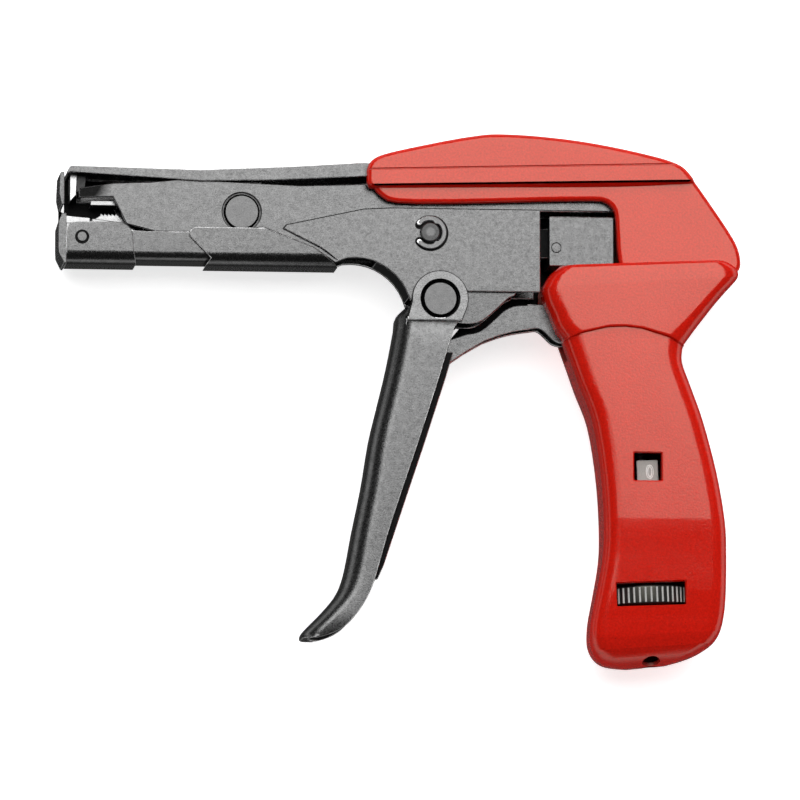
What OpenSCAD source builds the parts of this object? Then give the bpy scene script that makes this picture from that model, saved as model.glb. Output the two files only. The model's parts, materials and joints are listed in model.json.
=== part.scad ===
// Cable tie tensioning tool, lying on its far side: +X to the back, +Y to the tool's top, +Z to the near side.
// Places start as shares of the sizes below, counted from the trigger pivot along X and from the pull line along Y.

/* [Overall] */
// Trigger pivot to the front of the nose
barrel_l = 91.4; // [76:0.1:110]
// Trigger pivot to the back of the housing
back_l = 72.7; // [60:0.1:88]
// Height of the side plates at the trigger
body_h = 25.6; // [24:0.1:31]
// Pull line to the crown of the housing
crown_h = 25; // [24:0.1:30]
// Pull line down to the top of the grip pads
pad_drop = 5; // [4.2:0.1:6]
// Length of the grip from its pads to its foot
grip_l = 97.8; // [88:0.1:118]
// Width of the grip at its swell
grip_w = 30; // [28:0.1:36]
// Thickness over the grip pads
grip_t = 25; // [24:0.1:30]

/* [Frame] */
// Thickness of the side plates
plate_t = 1.5; // [1.2:0.1:1.8]
// Width over the barrel
barrel_w = 12.4; // [12:0.1:14.8]
// How far the side plates are set out at the trigger
joggle = 0.9; // [0.6:0.1:1.1]
// Thickness of the lower brackets
bracket_t = 1; // [0.8:0.1:1.2]
// Depth of the barrel channel below the pull line
barrel_drop = 6.4; // [6:0.1:7.7]
// Height of the slot that the tie runs through
tie_slot = 2.2; // [2:0.1:2.6]

/* [Pins] */
// Diameter of the lever pin's heads
lever_head_d = 8.5; // [7.5:0.1:9]
// Diameter of the trigger pin's heads
trigger_head_d = 8.4; // [7.5:0.1:8.8]
// Diameter of both pins between the plates
shank_d = 5; // [4.4:0.1:5.4]
// Diameter of the guide pin
guide_pin_d = 4.5; // [4:0.1:4.7]
// Diameter of the nose rivet
rivet_d = 2.2; // [2:0.1:2.5]
// Diameter of the link pin in the trigger
link_pin_d = 3.6; // [3:0.1:4]
// Diameter of the rocker's pins
rocker_pin_d = 3.2; // [2.8:0.1:3.6]

/* [Trigger] */
// Length of the trigger below its pivot
trigger_l = 82; // [70:0.5:96]
// Thickness of the trigger's sheet
trigger_t = 1.5; // [1.3:0.1:1.6]
// Bend radius along the front of the trigger
trigger_bend = 3.2; // [2.2:0.1:3.6]
// Radius of the ears at the pivot
ear_r = 6.8; // [6.2:0.1:7.4]
// How far the inner channel stands out behind the trigger
liner_proud = 1.7; // [1:0.1:2]

/* [Lever] */
// Thickness of the cutter lever's sheet
lever_t = 1.15; // [1:0.05:1.3]
// Width of the blade
blade_w = 6; // [5.4:0.1:6.1]

/* [Draw bar] */
// Width of the draw bar
bar_w = 6; // [5.4:0.1:6.1]
// Stroke of the draw bar
stroke = 18; // [16:0.1:18.4]
// Height of one tooth of the pawl
tooth = 0.55; // [0.4:0.05:0.7]

/* [Housing] */
// Wall of the housing and the grip
wall = 2.2; // [1.8:0.1:2.4]
// Width over the upper housing
hood_w = 22; // [21.6:0.1:23]
// Radius along the edges of the grip
edge_r = 3.2; // [2.4:0.1:3.8]
// How far the grip pads stand proud of the grip below them
pad_step = 0.9; // [0.6:0.1:1.1]
// Diameter of the screw bosses
boss_d = 6; // [5:0.1:6.4]
// Diameter of the housing screws
screw_d = 2.9; // [2.5:0.1:3.1]

/* [Tension setting] */
// Diameter of the thumbwheel
wheel_d = 22; // [21.4:0.1:22.4]
// Thickness of the thumbwheel
wheel_t = 4.7; // [4:0.1:5]
// Ribs round the thumbwheel
wheel_ribs = 56; // [40:1:64]
// Diameter of the tension screw
tension_d = 4.6; // [4:0.1:5]
// Wire of the tension spring
spring_wire = 1.4; // [1:0.1:1.5]
// Turns of the tension spring
spring_turns = 9; // [6:0.5:10]
// Mean diameter of the tension spring
spring_d = 8.8; // [8:0.1:9.6]

/* [Hidden] */

$fn = 48;
fit = 0.05;
gap = 0.3;
cut = 1;
far_cut = 60;

mid = grip_t / 2;
barrel_half = barrel_w / 2;
body_half = barrel_half + joggle;
plate_in = barrel_half - plate_t;
lug_half = body_half - plate_t;
lug_in = lug_half - plate_t;
ear_in = body_half + gap / 2;
ear_half = ear_in + trigger_t;
trigger_half = body_half + gap / 3;
trigger_in = trigger_half - trigger_t;
liner_t = 1.2;
liner_half = trigger_in - fit;
link_t = 1.4;
link_half = lug_in - gap / 2;
link_in = link_half - link_t;
rocker_half = link_in - gap / 2;
bar_half = bar_w / 2;
crosshead_half = body_half - gap;
crosshead_pocket = 5.6;
crosshead_in = rocker_half + gap;
lever_in = barrel_half + gap / 2;
lever_half = lever_in + lever_t;
lever_ear_half = plate_in - gap / 2;
lever_ear_t = 1.2;
hood_half = hood_w / 2;
flange_half = hood_half - plate_t;
handle_half = mid - pad_step;
frame_room = body_half + gap / 2;

foot_y = -pad_drop - grip_l;
middle = [(back_l - barrel_l) / 2, (crown_h + foot_y) / 2];

function at(p) = [p[0] * (p[0] < 0 ? barrel_l : back_l), p[1] * body_h];
function places(shares) = [for (p = shares) at(p)];
function in_grip(p) = [p[0] * back_l, -pad_drop - p[1] * grip_l];
function on_hood(p) = [p[0] * (p[0] < 0 ? barrel_l : back_l), p[1] * crown_h];
function hood_places(shares) = [for (p = shares) on_hood(p)];
function arc(c, r, a0, a1, n) = [for (i = [0:n]) c + r * [cos(a0 + (a1 - a0) * i / n), sin(a0 + (a1 - a0) * i / n)]];
function unit(v) = v / norm(v);
function right_of(v) = [v[1], -v[0]];
// A clockwise outline moved inwards
function inset(list, d) = [for (i = [0:len(list) - 1])
    let (n = len(list), p = list[i], a = right_of(unit(p - list[(i + n - 1) % n])),
        b = right_of(unit(list[(i + 1) % n] - p))) p + d * (a + b) / (1 + a * b)];

// Gentle turns of an outline become curves from one side's middle to the next, sharp ones small roundings
function eased(list, turn, reach, steps) = [for (i = [0:len(list) - 1]) let (n = len(list), p = list[i],
    a = list[(i + n - 1) % n] - p, b = list[(i + 1) % n] - p, most = unit(-a) * unit(b) > cos(turn) ? far_cut : reach,
    q = p + a * min(0.48, most / norm(a)), r = p + b * min(0.48, most / norm(b)))
    each [for (k = [0:steps]) let (t = k / steps) (1 - t) * (1 - t) * q + 2 * t * (1 - t) * p + t * t * r]];

trigger_drop = 15;
lug_r = 4.2;
head_ring = 0.45;
head_ring_depth = 0.8;
trigger_at = [0, -trigger_drop];
lever_at = at([-0.52, 0.218]);
guide_at = at([-0.026, 0.042]);
rivet_at = at([-0.939, -0.043]);
link_pin_at = trigger_at + trigger_l * [-0.037, -0.182];
rocker_at = in_grip([0.619, 0.284]);
rocker_link_at = in_grip([0.45, 0.153]);
crosshead_pin_at = [0.477 * back_l, -0.2];

module place() translate([-middle[0], -middle[1], mid]) children();
module side(s) mirror([0, 0, s > 0 ? 0 : 1]) children();
module slab(lo, hi) translate([0, 0, lo]) linear_extrude(hi - lo) children();
module both(lo, hi) {
    slab(lo, hi) children();
    slab(-hi, -lo) children();
}
module across(half) slab(-half, half) children();
module disc(p, r) translate(p) circle(r);
module rod(p, r, lo, hi) slab(lo, hi) disc(p, r);
module box(p, q) translate([min(p[0], q[0]), min(p[1], q[1])]) square([abs(q[0] - p[0]), abs(q[1] - p[1])]);
module bar(p, q, w) translate(p) rotate(atan2(q[1] - p[1], q[0] - p[0])) translate([0, -w / 2])
    square([norm(q - p), w]);
module arm(p, q, w) {
    disc(p, w / 2);
    disc(q, w / 2);
    bar(p, q, w);
}

// A solid skinned over rings of equal length, closed at both ends
module skin(rings) {
    n = len(rings[0]);
    last = (len(rings) - 1) * n;
    sides = [for (k = [0:len(rings) - 2], i = [0:n - 1])
        let (a = k * n + i, b = k * n + (i + 1) % n) each [[a, b, b + n], [a, b + n, a + n]]];
    ends = [for (i = [1:n - 2]) each [[0, i + 1, i], [last, last + i, last + i + 1]]];
    polyhedron([for (r = rings) each r], concat(sides, ends), convexity = 6);
}
// A round wire along points
module wire(points, r, sides = 6) {
    n = len(points);
    skin([for (i = [0:n - 1])
        let (t = unit(points[min(i + 1, n - 1)] - points[max(i - 1, 0)]), e = unit(cross(t, [0, 0, 1])),
            f = cross(e, t))
        [for (k = [0:sides - 1]) points[i] + r * (cos(360 * k / sides) * e + sin(360 * k / sides) * f)]]);
}
function coil(r, pitch, a0, turns, steps) = [for (i = [0:turns * steps])
    [r * cos(a0 + 360 * i / steps), r * sin(a0 + 360 * i / steps), pitch * i / steps]];
// A torsion spring round a pin, from one leg's end to the other's
module torsion(c, r, from, to, turns, up, wire_r) {
    a0 = atan2(from[1] - c[1], from[0] - c[0]) + acos(r / norm(from - c));
    a1 = atan2(to[1] - c[1], to[0] - c[0]) - acos(r / norm(to - c));
    sweep = 360 * turns + a1 - a0 + 360 * ceil((a0 - a1) / 360);
    steps = 20 * (turns + 1);
    wire(concat([[from[0], from[1], -up]], [for (i = [0:steps])
        [c[0] + r * cos(a0 + sweep * i / steps), c[1] + r * sin(a0 + sweep * i / steps), up * (2 * i / steps - 1)]],
        [[to[0], to[1], up]]), wire_r);
}

// Frame

guard_at = at([-0.221, -0.729]);
guard_r = 13.6;
foot_share = -0.504;
rear_share = 0.334;
joggle_share = 0.273;
plate_top_shares = [[-0.947, 0.42], [-0.858, 0.47], [-0.76, 0.485], [-0.713, 0.503], [-0.68, 0.518],
    [-0.628, 0.512], [-0.51, 0.495], [-0.366, 0.472], [-0.194, 0.495], [0.579, 0.513], [0.579, 0.261],
    [rear_share, 0.257], [rear_share, foot_share]];
plate_low_shares = [[-0.275, -0.245], [-0.332, -0.105], [-0.463, 0.075], [-0.664, 0.023], [-0.742, 0.023],
    [-0.822, 0.09], [-0.839, 0.215], [-0.858, 0.345], [-0.947, 0.332]];
raised_shares = [[-0.411, 0.065], [-0.403, 0.1], [-0.199, 0.259], [-0.128, joggle_share],
    [0.6, joggle_share], [0.6, -1], [-0.2, -1], [-0.255, -0.257], [-0.312, -0.112]];

module plate_shape() {
    polygon(concat(places(plate_top_shares), [[lug_r, foot_share * body_h], trigger_at + lug_r * [-0.5, -0.8],
        trigger_at - [1.55 * lug_r, 0]], arc(guard_at, guard_r, 14, 98, 10), places(plate_low_shares)));
    disc(trigger_at, lug_r);
}
module raised_shape() polygon(places(raised_shares));
module side_plate(s) color("dimgray") place() side(s) difference() {
    union() {
        slab(plate_in, barrel_half) plate_shape();
        slab(plate_in, body_half) intersection() {
            plate_shape();
            raised_shape();
        }
    }
    slab(plate_in - cut, lug_half) translate(plate_t / 2 * [1, -1]) raised_shape();
    rod(lever_at, lever_head_d / 2, 0, mid);
    rod(lever_at, lever_head_d / 2 + head_ring, barrel_half - head_ring_depth, mid);
    rod(guide_at, guide_pin_d / 2, 0, mid);
    rod(trigger_at, shank_d / 2, 0, mid);
}
module near_side_plate() side_plate(1);
module far_side_plate() side_plate(-1);

lug_shares = [[0.26, -0.36], [0.255, -0.53], [0.235, -0.545], [0.156, -0.751], [0.124, -0.8], [0.07, -0.803],
    [0, -0.74], [0, -0.36]];
module lug_plate(s) color("dimgray") place() side(s) difference() {
    union() {
        slab(lug_in, lug_half) polygon(places(lug_shares));
        rod(trigger_at, lug_r, lug_in, lug_half);
    }
    rod(trigger_at, shank_d / 2, 0, mid);
}
module near_lug_plate() lug_plate(1);
module far_lug_plate() lug_plate(-1);

// A channel open at the top, its section rounded below
module rounded(bottom, half, r) {
    disc([bottom + r, half - r], r);
    disc([bottom + r, r - half], r);
    box([bottom, r - half], [bottom + r, half - r]);
    box([bottom + r, -half], [crown_h, half]);
}
module channel(bottom, half, t, r, shares) intersection() {
    translate([-barrel_l, 0, 0]) rotate([90, 0, 90]) linear_extrude(barrel_l + back_l) difference() {
        rounded(bottom, half, r);
        rounded(bottom + t, half - t, r - t);
    }
    across(mid) polygon(places(shares));
}
bend_r = 2.2;
channel_shares = [[-0.975, 0.023], [-0.664, 0.023], [-0.463, 0.075], [-0.332, -0.105], [-0.275, -0.245],
    [-0.275, -0.4], [-0.975, -0.4]];
nose_bracket_shares = [[-0.98, 0.1], [-0.841, 0.104], [-0.819, 0.072], [-0.807, 0.014], [-0.804, -0.159],
    [-0.794, -0.32], [-0.98, -0.32]];
rear_bracket_shares = [[-0.649, 0.065], [-0.463, 0.065], [-0.332, -0.112], [-0.275, -0.257], [-0.256, -0.32],
    [-0.621, -0.32], [-0.601, -0.224], [-0.662, 0]];
module barrel_channel() color("dimgray") place() difference() {
    channel(-barrel_drop, barrel_half, liner_t, bend_r, channel_shares);
    rod(rivet_at, rivet_d / 2, -mid, mid);
    rod(lever_at, lever_head_d / 2, -mid, mid);
}
module nose_bracket() color("gray") place() difference() {
    channel(-barrel_drop - bracket_t, barrel_half + bracket_t, bracket_t, bend_r + bracket_t, nose_bracket_shares);
    rod(rivet_at, rivet_d / 2, -mid, mid);
}
module rear_bracket() color("gray") place()
    channel(-barrel_drop - bracket_t, barrel_half + bracket_t, bracket_t, bend_r + bracket_t, rear_bracket_shares);

slot_share = 0.22;
nose_half = barrel_half + bracket_t;
slot_side = 4.6;
nose_shares = [[-0.996, 0.566], [-0.986, 0.566], [-0.986, 0.262], [-0.98, 0.172], [-0.98, -0.289],
    [-0.986, -0.285], [-0.999, -0.19], [-1, -0.13], [-1, 0.083], [-0.992, 0.172], [-0.992, 0.262],
    [-0.998, 0.36]];
module nose_plate() color("dimgray") place() difference() {
    across(nose_half) polygon(places(nose_shares));
    slab(-slot_side, mid) box([-barrel_l - cut, slot_share * body_h - tie_slot / 2],
        [-0.9 * barrel_l, slot_share * body_h + tie_slot / 2]);
}
guide_shares = [[-0.98, 0.177], [-0.915, 0.158], [-0.915, -0.16], [-0.98, -0.16]];
guide_low_share = 0.1;
module tie_guide() color("lightgray") place() difference() {
    union() {
        across(bar_half + gap / 3) polygon(places(guide_shares));
        across(barrel_half - liner_t) intersection() {
            polygon(places(guide_shares));
            box([-barrel_l, -barrel_drop], [0, guide_low_share * body_h]);
        }
    }
    rod(rivet_at, rivet_d / 2, -mid, mid);
}
module nose_rivet() color("gray") place() rod(rivet_at, rivet_d / 2, -nose_half - gap, nose_half + gap);
module front_web() color("dimgray") place() across(lug_half) difference() {
    intersection() {
        disc(guard_at, guard_r + liner_t);
        polygon(concat([guard_at], arc(guard_at, guard_r * 2, 18, 68, 4)));
    }
    disc(guard_at, guard_r);
}
spacer_r = 2.2;
stop_r = 1.6;
spacer_places = [at([0.1315, 0.405]), at([0.493, 0.405])];
stop_at = at([-0.43, 0.29]);
module frame_spacers() color("gray") place() {
    for (p = spacer_places) rod(p, spacer_r, -plate_in, plate_in);
    rod(stop_at, stop_r, -plate_in, plate_in);
}
module lever_pin() color("gray") place() {
    rod(lever_at, shank_d / 2, -barrel_half, barrel_half);
    both(plate_in, barrel_half) disc(lever_at, lever_head_d / 2);
}
module trigger_pin() color("gray") place() {
    rod(trigger_at, shank_d / 2, -ear_in, ear_in);
    both(body_half, ear_half) disc(trigger_at, trigger_head_d / 2);
}
clip_t = 0.8;
clip_groove = 0.5;
clip_r = 4.1;
clip_mouth = 2.9;
module guide_pin() color("gray") place() difference() {
    union() {
        rod(guide_at, guide_pin_d / 2, -body_half, body_half + clip_t * 2);
        rod(guide_at, guide_pin_d / 2 + plate_t / 2, -body_half - plate_t, -body_half);
    }
    slab(body_half, body_half + clip_t) difference() {
        disc(guide_at, guide_pin_d);
        disc(guide_at, guide_pin_d / 2 - clip_groove);
    }
}
module e_clip() color("black") place() slab(body_half, body_half + clip_t) difference() {
    disc(guide_at, clip_r);
    disc(guide_at, guide_pin_d / 2 - clip_groove);
    box(guide_at - [clip_r + cut, clip_mouth / 2], guide_at + [0, clip_mouth / 2]);
    for (a = [65, -65]) disc(guide_at + guide_pin_d / 2 * [cos(a), sin(a)], clip_t);
}

// Cutter lever

lever_top_shares = [[-0.9765, 0.593], [-0.969, 0.622], [-0.771, 0.611], [-0.628, 0.601], [-0.392, 0.644],
    [-0.196, 0.694], [-0.105, 0.654]];
lever_low_shares = [[-0.105, 0.583], [-0.194, 0.566], [-0.458, 0.513], [-0.628, 0.501], [-0.771, 0.528],
    [-0.9765, 0.565]];
web_share = 0.045;
lever_ear_r = 6;
module cutter_lever() color("gray") place() difference() {
    union() {
        both(lever_in, lever_half) polygon(places(concat(lever_top_shares, lever_low_shares)));
        across(lever_half) polygon(places(concat(lever_top_shares,
            [for (i = [len(lever_top_shares) - 1:-1:0]) lever_top_shares[i] - [0, web_share]])));
        both(lever_ear_half - lever_ear_t, lever_ear_half) {
            disc(lever_at, lever_ear_r);
            polygon([at([-0.6, 0.58]), at([-0.47, 0.6]), lever_at + lever_ear_r * [1, 0],
                lever_at - lever_ear_r * [1, 0]]);
        }
    }
    rod(lever_at, shank_d / 2 + fit, -mid, mid);
}
blade_shares = [[-0.969, 0.577], [-0.95, 0.576], [-0.952, 0.373], [-0.969, 0.306]];
holder_shares = [[-0.95, 0.576], [-0.925, 0.5746], [-0.93, 0.4], [-0.9515, 0.4]];
blade_rivet_share = 0.5;
module blade_rivet_form() translate([-0.969 * barrel_l, blade_rivet_share * body_h, 0]) rotate([0, 90, 0])
    cylinder(r = rivet_d / 3, h = 0.041 * barrel_l);
module cutter_blade() color("lightgray") place() difference() {
    across(blade_w / 2) polygon(places(blade_shares));
    blade_rivet_form();
}
module blade_holder() color("gray") place() difference() {
    across(blade_w / 2 - gap / 2) polygon(places(holder_shares));
    blade_rivet_form();
}
module blade_rivet() color("gray") place() blade_rivet_form();
coil_wire = 0.7;
coil_turns = 3;
coil_room = 0.5;
spring_seat_share = [-0.575, 0.565];
module lever_spring() color("silver") place() torsion(lever_at, shank_d / 2 + coil_wire / 2 + fit * 2,
    at(spring_seat_share) - [0, coil_wire / 2 + fit], stop_at - [0, stop_r + coil_wire / 2 + fit], coil_turns,
    (coil_turns + 0.8) * (coil_wire + coil_room) / 2, coil_wire / 2);

// Draw bar

bar_top = 0.7;
bar_low = 4.1;
bar_wide_top = 6;
bar_end_share = 0.4;
guide_slot = guide_pin_d + 0.2;
cross_rivet_at = [0.388 * back_l, -bar_low / 2];
module draw_bar() color("gray") place() across(bar_half) difference() {
    union() {
        box([-0.761 * barrel_l, -bar_low], [bar_end_share * back_l, bar_top]);
        box([-0.413 * barrel_l, -bar_low], [0.04 * back_l, bar_wide_top]);
        box([0, -bar_low], [bar_end_share * back_l, bar_top + guide_pin_d / 2]);
    }
    arm(guide_at - [stroke + gap, 0], guide_at + [gap, 0], guide_slot);
    disc(cross_rivet_at, rivet_d / 2);
}
block_shares = [[0.365, 0.215], [0.579, 0.215], [0.579, -0.252], [0.365, -0.252]];
rise = 1.7;
module crosshead() color("gray") place() difference() {
    across(crosshead_half) polygon(places(block_shares));
    across(crosshead_in) box([0.414 * back_l, -body_h], [back_l, body_h]);
    across(bar_half) box([0.3 * back_l, -bar_low], [bar_end_share * back_l, bar_top + guide_pin_d / 2]);
    across(crosshead_pocket) arm(crosshead_pin_at, crosshead_pin_at + [0, rise], rocker_pin_d + gap);
    rod(cross_rivet_at, rivet_d / 2, -mid, mid);
}
module crosshead_rivet() color("gray") place() rod(cross_rivet_at, rivet_d / 2, -crosshead_half, crosshead_half);
pawl_at = at([-0.8055, -0.028]);
pawl_pin_r = 1.1;
pawl_hub_r = 2.15;
pawl_half = 1.9;
cheek_in = 2;
jaw_half = bar_half + gap / 3;
jaw_side_shares = [[-0.91, 0.152], [-0.84, 0.122], [-0.8, 0.05], [-0.776, 0.05], [-0.776, -0.16], [-0.91, -0.16]];
jaw_back_shares = [[-0.91, -0.13], [-0.776, -0.13], [-0.776, 0.275], [-0.915, 0.275], [-0.915, 0.322],
    [-0.761, 0.322], [-0.761, -0.16], [-0.91, -0.16]];
module jaw_head() color("lightgray") place() difference() {
    union() {
        both(cheek_in, jaw_half) polygon(places(jaw_side_shares));
        across(jaw_half) polygon(places(jaw_back_shares));
    }
    rod(pawl_at, pawl_pin_r, -mid, mid);
}
module pawl_pin() color("gray") place() rod(pawl_at, pawl_pin_r, -jaw_half, jaw_half);
pawl_low_shares = [[-0.833, 0.165], [-0.79, 0.04], [-0.79, -0.09], [-0.825, -0.09], [-0.84, 0.02],
    [-0.895, 0.07], [-0.9, 0.159]];
pawl_teeth = 5;
pawl_first = at([-0.888, 0.185]);
pawl_last = at([-0.84, 0.185]);
tooth_lean = 0.1;
module pawl() color("white") place() difference() {
    union() {
        across(pawl_half) polygon(concat([for (i = [0:pawl_teeth - 1])
            let (p = pawl_first + (pawl_last - pawl_first) * i / pawl_teeth) each [p, p + [tooth_lean, tooth]]],
            [pawl_last], places(pawl_low_shares)));
        rod(pawl_at, pawl_hub_r, -pawl_half, pawl_half);
    }
    rod(pawl_at, pawl_pin_r + fit, -mid, mid);
}
pawl_wire = 0.35;
pawl_turns = 4;
pawl_spring_at = at([-0.862, -0.13]);
pawl_spring_h = 4;
pawl_spring_r = 1.05;
module pawl_spring() color("silver") place() translate([pawl_spring_at[0], pawl_spring_at[1] + pawl_wire / 2, 0])
    rotate([-90, 0, 0])
    wire(coil(pawl_spring_r, (pawl_spring_h - pawl_wire) / pawl_turns, 0, pawl_turns, 12), pawl_wire / 2);

// Trigger: front and back edges and depth below the pivot, all shares of its length

trigger_shares = [[-0.1, -0.045, 0.024], [-0.117, -0.02, 0.04], [-0.124, 0.062, 0.056], [-0.126, 0.043, 0.083],
    [-0.139, 0.021, 0.153], [-0.155, -0.001, 0.228], [-0.178, -0.031, 0.322], [-0.2, -0.061, 0.415],
    [-0.222, -0.106, 0.549], [-0.249, -0.149, 0.68], [-0.269, -0.183, 0.782], [-0.282, -0.201, 0.822],
    [-0.302, -0.224, 0.863], [-0.334, -0.244, 0.9], [-0.363, -0.279, 0.933], [-0.384, -0.311, 0.956],
    [-0.398, -0.343, 0.974], [-0.4, -0.366, 0.984], [-0.398, -0.38, 0.988]];
tip_share = 0.85;
scoop_share = 0.91;
liner_share = 0.15;
quarter = [0, 22.5, 45, 67.5, 90];
function narrow(depth) = depth < tip_share ? 1 : 1 - 24 * pow(depth - tip_share, 2);
function u_ring(front, back, half, r, y) = let (q = min(r, (back - front) * 0.7, half * 0.7)) concat(
    [[back, y, -half]], [for (a = quarter) [front + q - q * sin(a), y, q - half - q * cos(a)]],
    [for (a = quarter) [front + q - q * cos(a), y, half - q + q * sin(a)]], [[back, y, half]]);
function u_rings(rows, t, half, r, past, over) = [for (i = [0:len(rows) - 1]) let (k = rows[i])
    u_ring(k[0] * trigger_l + t, k[1] * trigger_l + past, half * narrow(k[2]), r,
        (i == 0 ? over : 0) - k[2] * trigger_l)];
open_rows = [for (k = trigger_shares) if (k[2] < scoop_share) k];
liner_rows = [for (k = trigger_shares) if (k[2] > liner_share && k[2] < tip_share) k];
ear_foot = 5.2;
ear_foot_shares = [[-0.0985, 0], [0.064, 0.004]];
module ear_shape() {
    disc([0, 0], ear_r);
    polygon(concat([[-ear_r, 0]], [for (k = ear_foot_shares) k * trigger_l - [0, ear_foot]], [[ear_r, 0]]));
}
module trigger() color("gray") place() translate([trigger_at[0], trigger_at[1], 0]) difference() {
    union() {
        difference() {
            skin(u_rings(trigger_shares, 0, trigger_half, trigger_bend, 0, 0));
            skin(u_rings(open_rows, trigger_t, trigger_in, trigger_bend - trigger_t / 2, ear_r, cut));
            cylinder(r = lug_r + gap, h = far_cut, center = true);
        }
        both(ear_in, ear_half) ear_shape();
        both(trigger_in, ear_half) intersection() {
            ear_shape();
            box([-ear_r * 2, -ear_foot - cut / 10], [ear_r * 2, 1 - ear_foot]);
        }
    }
    across(ear_half + cut) disc([0, 0], trigger_head_d / 2 + fit);
    both(ear_half - head_ring_depth, ear_half + cut) disc([0, 0], trigger_head_d / 2 + head_ring);
    rod(link_pin_at - trigger_at, link_pin_d / 2, gap - trigger_half, trigger_half - gap);
}
module trigger_liner() color("dimgray") place() translate([trigger_at[0], trigger_at[1], 0]) difference() {
    skin(u_rings(liner_rows, trigger_t + fit, liner_half, trigger_bend - trigger_t / 2, liner_proud, 0));
    intersection() {
        skin(u_rings(open_rows, trigger_t + fit + liner_t, liner_half - liner_t, trigger_bend - trigger_t, ear_r, 0));
        across(mid) box([-trigger_l, -trigger_l], [trigger_l, 0]);
    }
    rod(link_pin_at - trigger_at, link_pin_d / 2, -mid, mid);
}
module link_pin() color("gray") place() rod(link_pin_at, link_pin_d / 2, gap - trigger_half, trigger_half - gap);
trigger_wire = 0.8;
module trigger_spring() color("silver") place() torsion(trigger_at, shank_d / 2 + trigger_wire / 2 + fit * 2,
    guard_at + (guard_r + liner_t + trigger_wire / 2 + fit) * [cos(38), sin(38)],
    trigger_at + trigger_l * [-0.105, -0.19], coil_turns, (coil_turns + 1) * (trigger_wire + coil_room) / 2,
    trigger_wire / 2);

// Link and rocker

link_dir = unit(rocker_link_at - link_pin_at);
link_side = [-link_dir[1], link_dir[0]];
link_l = norm(rocker_link_at - link_pin_at);
link_shares = [[0, 0.086], [0.13, 0.1], [0.31, 0.108], [0.393, 0.099], [0.5, 0.15], [0.621, 0.216], [0.811, 0.177],
    [0.99, 0.112], [1, -0.112], [0.864, -0.112], [0.8, 0], [0.777, 0.03], [0.576, 0.055], [0.412, 0.04],
    [0.275, 0.004], [0.127, -0.048], [0, -0.086]];
link_web_shares = [[0.22, 0.05], [0.22, 0.3], [0.72, 0.3], [0.72, 0.15], [0.6, 0.12], [0.4, 0.05]];
link_boss_r = 3.2;
link_end_r = 4.2;
slip = 1.1;
function on_link(shares) = [for (k = shares) link_pin_at + link_l * (k[0] * link_dir + k[1] * link_side)];
module link_shape() {
    polygon(on_link(link_shares));
    disc(link_pin_at, link_boss_r);
    disc(rocker_link_at, link_end_r);
}
module drive_link() color("dimgray") place() difference() {
    union() {
        both(link_in, link_half) link_shape();
        across(link_half) intersection() {
            link_shape();
            polygon(on_link(link_web_shares));
        }
    }
    rod(link_pin_at, link_pin_d / 2 + fit, -mid, mid);
    across(mid) arm(rocker_link_at - slip * link_side, rocker_link_at + slip * link_side, rocker_pin_d + fit * 4);
}
rocker_hub_r = 3.3;
rocker_top_r = 2.7;
rocker_w = 4.6;
gusset_share = 0.5;
gusset_at = rocker_at + gusset_share * (crosshead_pin_at - rocker_at);
module rocker() color("gray") place() difference() {
    union() {
        across(rocker_half) polygon([rocker_at, rocker_link_at, gusset_at]);
        for (p = [rocker_at, rocker_link_at]) rod(p, rocker_hub_r, -rocker_half, rocker_half);
        rod(crosshead_pin_at, rocker_top_r, -rocker_half, rocker_half);
        across(rocker_half) bar(rocker_at, rocker_link_at, rocker_w);
        across(rocker_half) bar(rocker_at, crosshead_pin_at, rocker_w);
        across(rocker_half) bar(rocker_link_at, gusset_at, rocker_w);
    }
    rod(rocker_at, rocker_pin_d / 2 + fit, -mid, mid);
    for (p = [rocker_link_at, crosshead_pin_at]) rod(p, rocker_pin_d / 2, -mid, mid);
}
module rocker_pivot_pin() color("gray") place() rod(rocker_at, rocker_pin_d / 2, wall - handle_half, handle_half - wall);
module rocker_link_pin() color("gray") place() rod(rocker_link_at, rocker_pin_d / 2, -link_half, link_half);
pin_play = 0.1;
module crosshead_pin() color("gray") place()
    rod(crosshead_pin_at, rocker_pin_d / 2, pin_play - crosshead_pocket, crosshead_pocket - pin_play);

// Tension setting, along the screw from the middle of the thumbwheel

lean = 2.3;
wheel_at = in_grip([0.694, 0.8255]);
tail = 13;
nut_up = 12.2;
nut_h = 4.5;
nut_half = [4.6, 6.4];
digit_top = 31.5;
cap_up = 47.1;
cap_t = 1.6;
cap_r = 5.4;
cap_arm = 2.4;
module on_screw() translate([wheel_at[0], wheel_at[1], 0]) rotate([0, 0, lean]) rotate([-90, 0, 0]) children();
module tension_screw() color("gray") place() on_screw()
    translate([0, 0, -tail]) cylinder(d = tension_d, h = tail + cap_up - nut_h);
rib_deep = 0.55;
wheel_profile_shares = [[0, rib_deep], [0.2, 0], [0.55, 0], [0.75, rib_deep]];
module thumbwheel() color("black") place() on_screw() translate([0, 0, -wheel_t / 2]) linear_extrude(wheel_t)
    difference() {
        polygon([for (i = [0:wheel_ribs - 1], k = wheel_profile_shares)
            (wheel_d / 2 - k[1]) * [cos(360 * (i + k[0]) / wheel_ribs), sin(360 * (i + k[0]) / wheel_ribs)]]);
        circle(d = tension_d);
    }
module tension_nut() color("gray") place() on_screw() translate([0, 0, nut_up]) difference() {
    translate([-nut_half[0], -nut_half[1], 0]) cube([nut_half[0] * 2, nut_half[1] * 2, nut_h]);
    translate([0, 0, -cut]) cylinder(d = tension_d + fit * 2, h = nut_h + cut * 2);
}
slide_half = 2.7;
slide_t = 1.1;
slide_out = handle_half - wall - gap * 2;
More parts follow.
